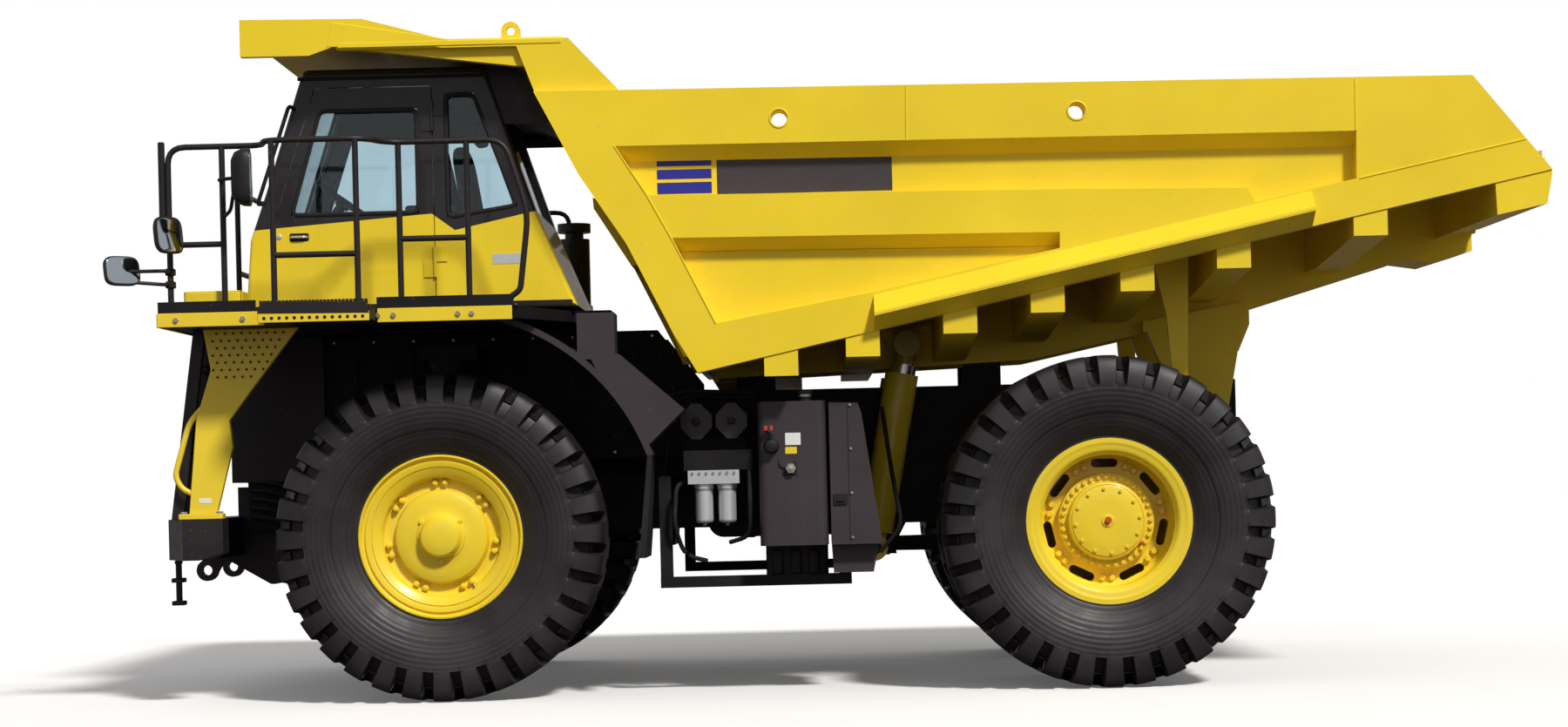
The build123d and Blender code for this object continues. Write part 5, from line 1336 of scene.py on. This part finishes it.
@dataclass
class Deck:
    """Edges of the deck: yellow side plates with bolts, and the grated step outside the door."""

    top: float = 2.514
    bottom: float = 2.441
    edge: float = 2.45
    step: float = 2.70
    bolt_stations: tuple[float, ...] = (0.292, 0.194, -0.211, -0.298, 1.14, 1.56)

    def build(self, palette: Palette) -> None:
        """Builds the edge plates, bolts, step grating and deck treads.

        Args:
            palette: The truck's materials.
        """
        skin = Skin()
        bottom, top = self.bottom - 0.012, self.top + 0.003
        for start, end in ((-0.55, 0.296), (1.006, 1.68)):
            outline = side_view(rectangle((start, bottom), (end, top), 0.006))
            skin.mirrored(slab(outline, Plane.SIDE, self.edge - 0.002, self.edge + 0.012, 0.003))
        middle = side_view(rectangle((0.29, bottom), (1.01, top), 0.006))
        skin.add(slab(middle, Plane.SIDE, -self.edge - 0.012, -self.edge + 0.002, 0.003))
        nose = rectangle((-self.edge, bottom), (self.edge, top), 0.006)
        front = FRONT_AXLE + 1.675
        skin.add(slab(nose, Plane.FRONT, front - 0.002, front + 0.010, 0.003))
        spots = from_front([(x, self.edge + 0.011, 2.473) for x in self.bolt_stations])
        skin.mirrored(bolts(spots, ACROSS, 0.018, 0.014), 1)
        skin.add(block(*from_front([(1.175, 1.995, self.top), (1.545, 2.305, self.top + 0.150)]), 0.012))
        skin.build("deck_edges", "chassis", "yellow_paint", [palette.yellow, palette.zinc])
        skin = Skin()
        low, high = FRONT_AXLE + 0.307, FRONT_AXLE + 0.998
        tread = [(low, self.top - 0.040), (high, self.top - 0.030), (high - 0.02, self.top + 0.045)]
        tread += [(low + 0.02, self.top + 0.035)]
        skin.add(slab(tread, Plane.SIDE, self.step - 0.002, self.step + 0.010, 0.003), 1)
        teeth = np.linspace(low + 0.02, high - 0.02, 29)
        low_end, high_end = self.step - 0.03, self.step + 0.009
        tooth = block((-0.008, low_end, self.top + 0.020), (0.008, high_end, self.top + 0.052), 0.002)
        skin.add(teeth[:, None, None, None] * np.array([1.0, 0, 0]) + tooth, 1)
        bars = np.linspace(self.edge + 0.02, self.step - 0.02, 9)
        bar = block((low, -0.004, self.top - 0.002), (high, 0.004, self.top + 0.018), 0.0015)
        skin.add(bars[:, None, None, None] * ACROSS + bar, 1)
        skin.add(block((low, self.step - 0.001, bottom), (high, self.step + 0.008, self.top - 0.026), 0.002))
        # Painted shade: black discs on the riser stand for the dark of its perforations.
        holes = np.linspace(low + 0.04, high - 0.04, 14)
        dot = turned([(0.0, 0.011), (0.0095, 0.011)], np.array([0.0, self.step, 2.456]), ACROSS, 12)
        skin.add(holes[:, None, None, None] * np.array([1.0, 0, 0]) + dot, 1)
        skin.build("side_step", "chassis", "yellow_paint", [palette.yellow, palette.black])


@dataclass
class ArchShadeSheet:
    """Dark plates beside the engine that close the wheel arches, painted shade for the dark void there, with
    pressed ribs and edge bolts.
    """

    plane: float = 0.655
    outline: Profile = (
        (0.95, 2.438), (-1.36, 2.438), (-1.62, 2.10), (-1.62, 1.56), (0.62, 1.56), (0.90, 1.12),
        (1.50, 1.12), (1.50, 1.46), (0.96, 1.46),
    )
    hoses: int = 5
    first_hose: float = 1.43
    hose_step: float = 0.062

    def build(self, palette: Palette) -> None:
        """Builds the plate on each side.

        Args:
            palette: The truck's materials.
        """
        skin = Skin()
        flat = side_view(self.outline)
        # Painted shade: the near-black plate fills the wheel arch so that it reads as a dark void.
        skin.mirrored(slab(flat, Plane.SIDE, self.plane - 0.006, self.plane, 0.002))
        for x in np.linspace(-1.2, 0.75, 6):
            rib = rectangle((FRONT_AXLE + x - 0.03, 1.66), (FRONT_AXLE + x + 0.03, 2.36), 0.02)
            skin.mirrored(slab(rib, Plane.SIDE, self.plane - 0.002, self.plane + 0.012, 0.006))
        seats = [(FRONT_AXLE + x, self.plane, z) for x in np.linspace(-1.32, 0.88, 9) for z in (1.60, 2.40)]
        skin.mirrored(bolts(seats, ACROSS, 0.012, 0.010), 1)
        for row in range(self.hoses):
            z = self.first_hose - self.hose_step * row
            run = [(1.47, 0.66, z + 0.03), (1.34, 0.70, z + 0.02), (1.20, 0.71, z - 0.02)]
            run += [(1.06, 0.70, z), (1.0, 0.65, z)]
            skin.add(tube(from_front(run), 0.017, 0.05, 10))
            skin.add(tube(from_front([(1.10, 0.707, z - 0.007), (1.055, 0.70, z)]), 0.021, 0.01, 10), 1)
        skin.build("arch_shade_sheets", "chassis", "black_paint", [palette.frame, palette.zinc])


@dataclass
class Cab:
    """Cab fittings: seals round the panes, door furniture, seat, dash and steering wheel."""

    outer: float = 1.86
    inner: float = 0.42
    floor: float = 2.606
    seat_inset: float = 0.05
    recline: float = -1.41
    far_trim: tuple[Profile, ...] = (
        ((-0.33, 4.03), (-0.36, 3.82), (0.88, 3.82), (0.83, 4.03)),
        ((-0.30, 3.83), (-0.55, 3.12), (-0.44, 3.12), (-0.20, 3.83)),
        ((0.10, 3.83), (-0.05, 3.12), (0.02, 3.12), (0.20, 3.83)),
        ((-0.55, 3.26), (-0.55, 3.12), (1.10, 3.12), (1.05, 3.22)),
    )
    door_window: Profile = ((0.10, 3.168), (0.935, 3.168), (0.735, 3.849), (0.10, 3.849))
    quarter: Profile = ((-0.08, 3.13), (-0.08, 3.94), (-0.27, 3.94), (-0.54, 3.20))
    right_window: Profile = ((-0.52, 3.17), (0.99, 3.17), (0.74, 3.94), (-0.26, 3.94))

    def seal(self, outline: Profile, y: float) -> Array:
        """Rubber seal round a pane: a flattened section carried round the window's edge.

        Args:
            outline: Corners of the window in side view, from the front axle.
            y: Plane of the seal.

        Returns:
            Rings that close on themselves.
        """
        edge = softened(drawn_in(np.array(outline), 0.006), 0.045, 6, closed=True)
        path = np.stack([edge[:, 0] + FRONT_AXLE, np.full(len(edge), y), edge[:, 1]], axis=1)
        ahead = unit(np.roll(path, -1, axis=0) - np.roll(path, 1, axis=0))
        section = circle(1.0, 10) * np.array([0.014, 0.008])
        across = unit(np.cross(ACROSS, ahead))
        return path[:, None] + section[:, 0, None] * across[:, None] + section[:, 1, None] * ACROSS

    def fittings(self, palette: Palette) -> None:
        """Seals on the fixed panes, sill, roof pad, gutter, grab rail and plate outside, all on the chassis.

        Args:
            palette: The truck's materials.
        """
        skin = Skin()
        skin.add(self.seal(self.quarter, self.outer), joined=True)
        skin.add(self.seal(self.right_window, self.inner), joined=True)
        sill = side_view(rectangle((-0.88, 2.55), (1.22, 2.585), 0.008))
        skin.add(slab(sill, Plane.SIDE, self.outer - 0.004, self.outer + 0.006, 0.002))
        plate = side_view(rectangle((-0.565, 2.825), (-0.367, 2.892), 0.006))
        skin.add(slab(plate, Plane.SIDE, self.outer - 0.002, self.outer + 0.002, 0.0008), 1)
        roof = side_view(rectangle((-0.33, self.inner + 0.03), (0.85, self.outer - 0.03), 0.08))
        skin.add(slab(roof, Plane.PLAN, 4.09, 4.118, 0.01))
        gutter = [(0.868, self.outer + 0.004, 4.055), (-0.36, self.outer + 0.004, 4.055)]
        skin.add(tube(from_front(gutter), 0.012, 0.01, 8))
        foot, bar = self.outer - 0.01, self.outer + 0.05
        grab = [(1.11, foot, 3.26), (1.14, bar, 3.24), (0.92, bar, 3.88), (0.89, foot, 3.86)]
        skin.add(tube(from_front(grab), 0.013, 0.03, 10))
        skin.build("cab_fittings", "chassis", "black_plastic", [palette.rubber, palette.aluminium])

    def door(self, palette: Palette) -> None:
        """Seal, handle with its recess and lock on the door.

        Args:
            palette: The truck's materials.
        """
        skin = Skin()
        skin.add(self.seal(self.door_window, self.outer + 0.001), joined=True)
        recess = side_view(rectangle((0.82, 3.003), (0.946, 3.056), 0.014))
        skin.add(slab(recess, Plane.SIDE, self.outer - 0.004, self.outer + 0.004, 0.003))
        foot, grip, level = self.outer, self.outer + 0.022, 3.03
        bar = [(0.832, foot, level), (0.845, grip, level), (0.925, grip, level), (0.936, foot, level)]
        skin.add(tube(from_front(bar), 0.008, 0.012, 10), 1)
        lock = np.array([FRONT_AXLE + 1.014, self.outer, 3.035])
        cylinder = [(-0.002, 0.017), (0.004, 0.017), (0.006, 0.012), (0.006, 0.004)]
        skin.add(turned(cylinder, lock, ACROSS, 20), 1)
        skin.build("door_fittings", "cab_door", "black_plastic", [palette.rubber, palette.aluminium])

    @staticmethod
    def pad(centre: Point | Array, size: Point, tilt: float) -> Array:
        """Crowned pad with sides that pull in between its corners.

        With c and s the cosine and sine of the latitude, and C and S those of the longitude, a point is
        (a c^.4 C^.45, b c^.4 S^.45, h s^.62). A bell curve across the pad presses in each of two sewn
        channels on top, and the whole is turned about y by the tilt.

        Args:
            centre: Middle of the pad, in the truck's frame.
            size: Full length, width and thickness.
            tilt: Turn about y in radians.

        Returns:
            Rings from the lower pole to the upper one.
        """
        lat = np.linspace(-1.52, 1.52, 25)[:, None]
        lon = np.linspace(0, 2 * math.pi, 56, endpoint=False)[None]

        def power(value: Array, share: float) -> Array:
            """Signed power."""
            return np.sign(value) * np.abs(value) ** share

        belt = np.cos(lat) ** 0.4
        x = size[0] / 2 * belt * power(np.cos(lon), 0.45)
        y = size[1] / 2 * belt * power(np.sin(lon), 0.45)
        z = size[2] / 2 * power(np.sin(lat), 0.62) + 0 * lon
        channel = np.exp(-((np.abs(y) - 0.24 * size[1]) ** 2) / 0.0002)
        z = z - 0.012 * channel * (z > 0)
        turn_x = x * math.cos(tilt) + z * math.sin(tilt)
        turn_z = -x * math.sin(tilt) + z * math.cos(tilt)
        return np.stack([turn_x, y, turn_z], axis=-1) + np.array(centre)

    def inside(self, palette: Palette) -> None:
        """Seat on its pedestal, dash, column and steering wheel.

        Args:
            palette: The truck's materials.
        """
        y, floor = (self.outer + self.inner) / 2 - self.seat_inset, self.floor
        pads = {
            "seat_cushion": ((0.125, y, floor + 0.40), (0.52, 0.50, 0.13), 0.0),
            "seat_back": ((-0.135, y, floor + 0.76), (0.62, 0.46, 0.12), self.recline),
            "seat_headrest": ((-0.215, y, floor + 1.15), (0.15, 0.26, 0.09), self.recline),
        }
        for name, (centre, size, tilt) in pads.items():
            skin = Skin().add(self.pad(from_front(centre), size, tilt))
            piece = skin.build(name, "chassis", "black_plastic", [palette.fabric])
        skin = Skin()
        foot = [(-0.05, y - 0.15, floor - 0.002), (0.25, y + 0.15, floor + 0.06)]
        skin.add(block(*from_front(foot), 0.01))
        skin.add(block(*from_front([(0.0, y - 0.11, floor + 0.055), (0.2, y + 0.11, floor + 0.335)]), 0.02))
        for side in Side:
            middle = y + side.value * 0.29
            rest = [(-0.1, middle - 0.035, floor + 0.6), (0.26, middle + 0.035, floor + 0.66)]
            skin.add(block(*from_front(rest), 0.014))
            arm = [(-0.04, y + side.value * 0.23, floor + 0.4), (-0.05, middle, floor + 0.44)]
            skin.add(tube(from_front(arm + [(-0.04, middle, floor + 0.62)]), 0.016, 0.03, 10))
        outline = [(0.85, floor), (1.16, floor), (1.13, 3.01), (1.08, 3.12), (0.90, 3.10), (0.87, 2.95)]
        flat = side_view(outline)
        skin.add(slab(flat, Plane.SIDE, self.inner + 0.06, self.outer - 0.12, 0.012))
        hood = [(0.86, 3.06), (1.06, 3.10), (1.05, 3.20), (0.98, 3.22), (0.87, 3.12)]
        skin.add(slab(side_view(hood), Plane.SIDE, y - 0.24, y + 0.24, 0.02))
        axis = np.array([-0.58, 0.0, 0.81])
        centre = from_front((0.71, y, 3.335))
        skin.add(tube([centre - 0.41 * unit(axis), centre - 0.02 * unit(axis)], 0.035, 0.01))
        skin.add(hoop(circle(0.015, 10) + [0.0, 0.225], centre, axis, 48), joined=True)
        across = np.array([0.81, 0.0, 0.58])
        for angle in (0.0, 2.1, 4.2):
            end = centre + 0.215 * (math.cos(angle) * across + math.sin(angle) * ACROSS)
            spoke = [centre - 0.03 * unit(axis), (centre + end) / 2 - 0.02 * unit(axis), end]
            skin.add(tube(spoke, 0.011, 0.05, 8))
        skin.add(turned([(-0.05, 0.05), (-0.01, 0.055), (0.004, 0.045)], centre, axis, 20))
        y = self.inner + 0.062
        for trim in self.far_trim:
            skin.add(slab(side_view(trim), Plane.SIDE, y, y + 0.02, 0.004))
        skin.build("cab_furniture", "chassis", "black_plastic", [palette.plastic], ("cab_interior",))

    def build(self, palette: Palette) -> None:
        """Builds everything on and in the cab.

        Args:
            palette: The truck's materials.
        """
        self.fittings(palette)
        self.door(palette)
        self.inside(palette)


@dataclass
class TippingBody:
    """Trim of the tipping body: stripes, blank panel, weld beads and hole collars."""

    panel_y: float = 2.13
    rail_y: float = 2.25
    stripes: Profile = ((3.452, 3.402), (3.380, 3.319), (3.297, 3.224))
    stripe_ends: Pair = (2.489, 2.838)
    blank: tuple[float, float, float, float] = (1.335, 2.455, 3.214, 3.452)
    holes: Pair = (2.049, 0.157)
    hole_height: float = 3.678
    floor_ends: Profile = ((2.603, 2.073), (-2.855, 3.234))
    spill_ends: Pair = (1.471, -1.319)
    spill_rise: float = 0.100
    top_ends: Profile = ((3.60, 3.882), (-2.355, 3.842))
    collar: Profile = ((-0.10, 0.0525), (0.002, 0.053), (0.006, 0.057), (0.004, 0.064), (-0.10, 0.066))

    def marks(self, palette: Palette) -> None:
        """Three stripes and the blank dark panel on each side, as thin plates on the recessed wall.

        Args:
            palette: The truck's materials.
        """
        skin = Skin()
        low, high = self.panel_y - 0.001, self.panel_y + 0.002
        for top, bottom in self.stripes:
            outline = rectangle((self.stripe_ends[0], bottom), (self.stripe_ends[1], top), 0.002)
            skin.mirrored(slab(side_view(outline, REAR_AXLE), Plane.SIDE, low, high, 0.0005))
        rear, front, bottom, top = self.blank
        outline = side_view(rectangle((rear, bottom), (front, top), 0.002), REAR_AXLE)
        skin.mirrored(slab(outline, Plane.SIDE, low, high, 0.0005), 1)
        skin.build("side_marks", "dump_body", "black_paint", [palette.blue, palette.panel])

    def beads(self) -> list[tuple[list[Pair], float]]:
        """Weld lines in side view from the rear axle.

        Returns:
            The points of each line, and the y of its plane.
        """
        rail, panel = self.rail_y, self.panel_y
        return [
            ([(3.099, 3.525), (2.899, 3.208), (2.751, 2.933), (2.481, 2.383)], rail),
            ([(1.237, 3.865), (1.243, 3.515)], rail),
            ([(-1.615, 3.838), (-1.612, 3.512)], rail),
            ([(-1.630, 3.206), (-2.690, 3.430)], rail),
            ([(3.05, 3.445), (1.0, 3.432), (-1.60, 3.420)], panel),
            ([(2.890, 3.210), (0.30, 3.186)], panel),
            ([(2.66, 2.845), (0.30, 2.826)], panel),
            ([(2.47, 2.395), (1.48, 2.566), (0.30, 2.818)], panel),
            ([(-1.61, 3.21), (-1.61, 3.415)], panel),
        ]

    def build(self, palette: Palette) -> None:
        """Builds the stripes, welds, hole collars and canopy trim.

        Args:
            palette: The truck's materials.
        """
        self.marks(palette)
        skin = Skin()
        for line, y in self.beads():
            path = from_rear([(x, y, z) for x, z in line])
            skin.mirrored(tube(path, 0.006, 0.02, 6))
        for x in self.holes:
            middle = np.array([REAR_AXLE + x, self.rail_y, self.hole_height])
            ring = hoop(self.collar, middle)
            skin.add(ring, joined=True).add(Side.RIGHT.place(ring), joined=True)
        skin.build("body_trim", "dump_body", "yellow_paint", [palette.body])
        self.spill_edge(palette)
        self.canopy_edge(palette)

    def canopy_edge(self, palette: Palette) -> None:
        """Rounded flange along each side of the canopy, with the cheek plate that closes it in front.

        Args:
            palette: The truck's materials.
        """
        skin = Skin()
        flange = side_view(rectangle((-0.885, 4.186), (0.56, 4.240), 0.018))
        skin.mirrored(slab(flange, Plane.SIDE, 2.12, 2.206, 0.014))
        cheek = [(0.58, 4.365), (0.62, 4.205), (-0.16, 4.205), (-0.16, 4.238)]
        skin.mirrored(slab(side_view(cheek), Plane.SIDE, 2.185, 2.203, 0.003))
        skin.build("canopy_flanges", "dump_body", "yellow_paint", [palette.body])

    def spill_edge(self, palette: Palette) -> None:
        """Rolled edge along the lip of each spill guard and along the top rails.

        Args:
            palette: The truck's materials.
        """
        (toe_x, toe_z), (tail_x, tail_z) = self.floor_ends
        slope = (toe_z - tail_z) / (toe_x - tail_x)
        skin = Skin()
        path = [(x, 2.372, tail_z + slope * (x - tail_x) + self.spill_rise) for x in self.spill_ends]
        skin.mirrored(tube(from_rear(path), 0.010, 0.01, 10))
        skin.mirrored(tube(from_rear([(x, 2.19, z) for x, z in self.top_ends]), 0.012, 0.01, 10))
        skin.build("rolled_edges", "dump_body", "yellow_paint", [palette.body])


@dataclass
class SideGear:
    """Fittings of the tank, boxes, air tanks and filters on the truck's left, and of the fuel tank."""

    face: float = 2.0
    air_tanks: Pair = (2.639, 2.410)
    filters: Pair = (2.600, 2.450)
    skirt_ribs: tuple[float, ...] = (1.86, 1.98, 2.10)

    def build(self, palette: Palette) -> None:
        """Builds doors, plugs, labels, bolts and pipes.

        Args:
            palette: The truck's materials.
        """
        skin = Skin()
        y = self.face

        def plate(low: Pair, high: Pair, finish: int, thick: float = 0.002) -> None:
            """Adds a thin plate on the outer face, measured from the rear axle."""
            outline = side_view(rectangle((low[0], low[1]), (high[0], high[1]), 0.004), REAR_AXLE)
            skin.add(slab(outline, Plane.SIDE, y - 0.001, y + thick, 0.0007), finish)

        plate((1.962, 1.602), (2.062, 1.681), 1)
        plate((1.988, 1.546), (2.063, 1.590), 2)
        plate((1.99, 1.405), (2.085, 1.495), 4, 0.003)
        plate((1.668, 1.212), (1.758, 1.282), 4, 0.012)
        plate((1.685, 1.232), (1.742, 1.246), 4, 0.022)
        plate((1.655, 0.975), (1.660, 1.850), 4, 0.002)
        plug = np.array([REAR_AXLE + 2.029, y, 1.451])
        skin.add(turned([(0.014, 0.036), (0.034, 0.036), (0.040, 0.030)], plug, ACROSS, 6), 3)
        skin.add(turned([(0.038, 0.018), (0.046, 0.016), (0.048, 0.006)], plug, ACROSS, 20), 3)
        seats = from_rear([(1.640, y, z) for z in (1.853, 1.571, 1.285, 0.999)])
        skin.add(bolts(seats, ACROSS, 0.011, 0.010), 3)
        valve = np.array([REAR_AXLE + 2.150, y - 0.01, 1.60])
        knob = [(0.0, 0.050), (0.03, 0.050), (0.045, 0.040), (0.075, 0.038), (0.08, 0.02)]
        skin.add(turned(knob, valve, ACROSS, 24), 4)
        pipe = [valve + [0, 0.06, 0.03], valve + [0.0, 0.065, 0.09], valve + [0.04, 0.03, 0.1]]
        skin.add(tube(pipe, 0.012, 0.03, 8), 4)
        skin.add(bolts([valve + [0.0, 0.055, 0.1], valve + [0.035, 0.055, 0.1]], UP, 0.012, 0.03), 5)
        neck = np.array([REAR_AXLE + 1.929, 1.88, 1.885])
        skin.add(turned([(0.03, 0.043), (0.05, 0.043), (0.056, 0.036), (0.06, 0.036)], neck, UP, 20), 3)
        for x in self.air_tanks:
            middle = np.array([REAR_AXLE + x, 1.835, 1.772])
            cut = [(0.104, -0.04), (0.104, 0.04), (0.03, 0.118), (-0.03, 0.118)]
            cut += [(-0.104, 0.04), (-0.104, -0.04), (-0.03, -0.118), (0.03, -0.118)]
            flat = np.array(cut) + [middle[0], middle[2]]
            skin.add(slab(flat, Plane.SIDE, middle[1] - 0.04, middle[1], 0.004))
            cup = [(-0.002, 0.030), (0.003, 0.030), (0.004, 0.022), (0.016, 0.020), (0.020, 0.010)]
            skin.add(turned(cup, middle, ACROSS, 24), 4)
        skin.add(block(*from_rear([(1.80, 1.22, 0.72), (2.21, 1.60, 0.957)]), 0.012), 4)
        for x in self.skirt_ribs:
            skin.add(block(*from_rear([(x, 1.595, 0.76), (x + 0.07, 1.625, 0.92)]), 0.008), 4)
        finishes = [palette.charcoal, palette.white, palette.yellow]
        finishes += [palette.zinc, palette.plastic, palette.red]
        skin.build("side_gear", "chassis", "black_paint", finishes)
        self.pipes(palette)

    def pipes(self, palette: Palette) -> None:
        """Steel pipes and filter clamps in the bay between the tank and the front wheel.

        Args:
            palette: The truck's materials.
        """
        skin = Skin()
        runs = [
            [(2.3, 1.66, 1.5), (2.3, 1.82, 1.5), (2.3, 1.88, 1.3), (2.3, 1.82, 1.02), (2.44, 1.7, 0.98)],
            [(2.7, 1.72, 1.4), (2.78, 1.8, 1.36), (2.8, 1.8, 1.1), (2.74, 1.7, 0.9), (2.6, 1.6, 0.86)],
            [(2.86, 1.50, 1.90), (2.84, 1.60, 1.60), (2.90, 1.60, 1.30), (2.86, 1.50, 0.95)],
            [(2.25, 1.45, 1.93), (2.70, 1.45, 1.95), (2.95, 1.50, 1.88)],
            [(2.25, 1.52, 1.96), (2.72, 1.55, 1.98), (3.02, 1.60, 1.90)],
            [(1.42, 1.35, 1.85), (1.36, 1.30, 1.40), (1.30, 1.25, 1.05), (1.45, 1.20, 0.88)],
        ]
        for run in runs:
            skin.add(tube(from_rear(run), 0.015, 0.09, 10))
        for x in self.filters:
            middle = np.array([REAR_AXLE + x, 1.78, 1.335])
            band = [(-0.012, 0.059), (-0.010, 0.063), (0.010, 0.063), (0.012, 0.059)]
            skin.add(hoop(band, middle, UP, 28), 1, joined=True)
            skin.add(bolts([middle - [0, 0, 0.225]], -UP, 0.014, 0.018), 1)
        caps = from_rear([(2.40 + 0.045 * i, 1.861, 1.435) for i in range(7)])
        skin.add(bolts(caps, ACROSS, 0.010, 0.010), 1)
        skin.build("bay_pipes", "chassis", "black_paint", [palette.rubber, palette.zinc])


@dataclass
class Stage:
    """Pale floor, white surroundings, soft lamps and the camera."""

    lens: float = 64.18
    distance: float = 20.0
    eye_height: float = 1.374
    station: float = 0.171
    roll: float = math.radians(1.4)
    shift: Pair = (-0.0222, 0.0742)
    ground: Colour = (0.12, 0.105, 0.10)
    lift: float = 0.08
    sky_level: float = 0.42
    sun_level: float = 3.25
    sun_spread: float = math.radians(7)
    sun_toward: Point = (0.36, -0.62, -0.72)
    floor_radius: float = 90.0

    def camera(self) -> None:
        """Camera square to the truck's left side, rolled a little as in the photograph."""
        data = bpy.data.cameras.new("camera")
        data.lens = self.lens
        data.sensor_width = 36.0
        data.sensor_fit = "HORIZONTAL"
        data.shift_x, data.shift_y = self.shift
        data.clip_end = 400.0
        camera = bpy.data.objects.new("camera", data)
        bpy.context.scene.collection.objects.link(camera)
        c, s = math.cos(self.roll), math.sin(self.roll)
        turn = Matrix(((-c, -s, 0.0), (0.0, 0.0, 1.0), (-s, c, 0.0))).to_4x4()
        camera.matrix_world = Matrix.Translation((self.station, self.distance, self.eye_height)) @ turn
        bpy.context.scene.camera = camera

    def floor(self) -> None:
        """Wide pale floor that shows white and keeps the truck's shadow."""
        rim = [(-0.05, self.floor_radius), (-0.0005, self.floor_radius)]
        skin = Skin().add(turned(rim, np.zeros(3), UP, ROUND_SIDES))
        mesh = bpy.data.meshes.new("floor")
        mesh.from_pydata(np.concatenate(skin.points).tolist(), [], skin.faces)
        floor = bpy.data.objects.new("floor", mesh)
        bpy.context.scene.collection.objects.link(floor)
        bench = NodeBench("pale_floor")
        tone = bench.blended(bench.noise(0.8, 3.0), (0.86, 0.845, 0.84), (0.90, 0.885, 0.88))
        bench.dial("Roughness", 0.9)
        bench.dial("Specular IOR Level", 0.1)
        rays = bench.add("ShaderNodeLightPath")
        seen = bench.sum("MAXIMUM", rays.outputs["Is Camera Ray"], rays.outputs["Is Transmission Ray"])
        bench.dial("Base Color", bench.blended(seen, self.ground, tone))
        bench.dial("Emission Color", (1.0, 0.99, 0.985, 1.0))
        bench.dial("Emission Strength", bench.sum("MULTIPLY", seen, self.lift))
        mesh.materials.append(bench.material)

    def world(self) -> None:
        """White world at a plain level, pure white where the camera or glass sees it."""
        world = bpy.data.worlds.new("studio")
        bpy.context.scene.world = world
        world.use_nodes = True
        tree = world.node_tree
        sky = tree.nodes["Background"]
        rays = tree.nodes.new("ShaderNodeLightPath")
        first, second = (tree.nodes.new("ShaderNodeMath") for _ in range(2))
        first.operation = second.operation = "MAXIMUM"
        tree.links.new(rays.outputs["Is Camera Ray"], first.inputs[0])
        tree.links.new(rays.outputs["Is Transmission Ray"], first.inputs[1])
        tree.links.new(first.outputs[0], second.inputs[0])
        second.inputs[1].default_value = self.sky_level
        tree.links.new(second.outputs[0], sky.inputs["Strength"])
        sky.inputs["Color"].default_value = (1.0, 1.0, 1.0, 1.0)

    def lamps(self) -> None:
        """Soft sun from the upper right of the photograph, in front of the truck's left side."""
        light = bpy.data.lights.new("key", "SUN")
        light.energy = self.sun_level
        light.angle = self.sun_spread
        light.color = (1.0, 0.98, 0.95)
        lamp = bpy.data.objects.new("key", light)
        bpy.context.scene.collection.objects.link(lamp)
        lamp.matrix_world = self.aimed(unit(np.array(self.sun_toward)))

    @staticmethod
    def aimed(toward: Array) -> Matrix:
        """Turn that points an object's -z along a direction.

        Args:
            toward: Direction of unit length.

        Returns:
            The turn as a matrix.
        """
        back = -toward
        across = unit(np.cross(UP, back))
        rise = np.cross(back, across)
        return Matrix(np.stack([across, rise, back], axis=1).tolist()).to_4x4()

    def build(self) -> None:
        """Sets the stage and the plain view transform."""
        bpy.context.scene.view_settings.view_transform = "Standard"
        self.floor()
        self.world()
        self.lamps()
        self.camera()


def main() -> None:
    """Dresses the truck piece by piece."""
    logging.basicConfig(level=logging.INFO, format="%(message)s")
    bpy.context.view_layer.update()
    palette = Palette()
    Solids(palette).dress()
    Tyre().fit(palette)
    for side in Side:
        FrontWheel(side).build(palette)
        RearHub(side).build(palette)
    Handrails().build(palette)
    Mirrors().build(palette)
    Nose().build(palette)
    Deck().build(palette)
    ArchShadeSheet().build(palette)
    Cab().build(palette)
    TippingBody().build(palette)
    SideGear().build(palette)
    Stage().build()


if __name__ == "__main__":
    main()
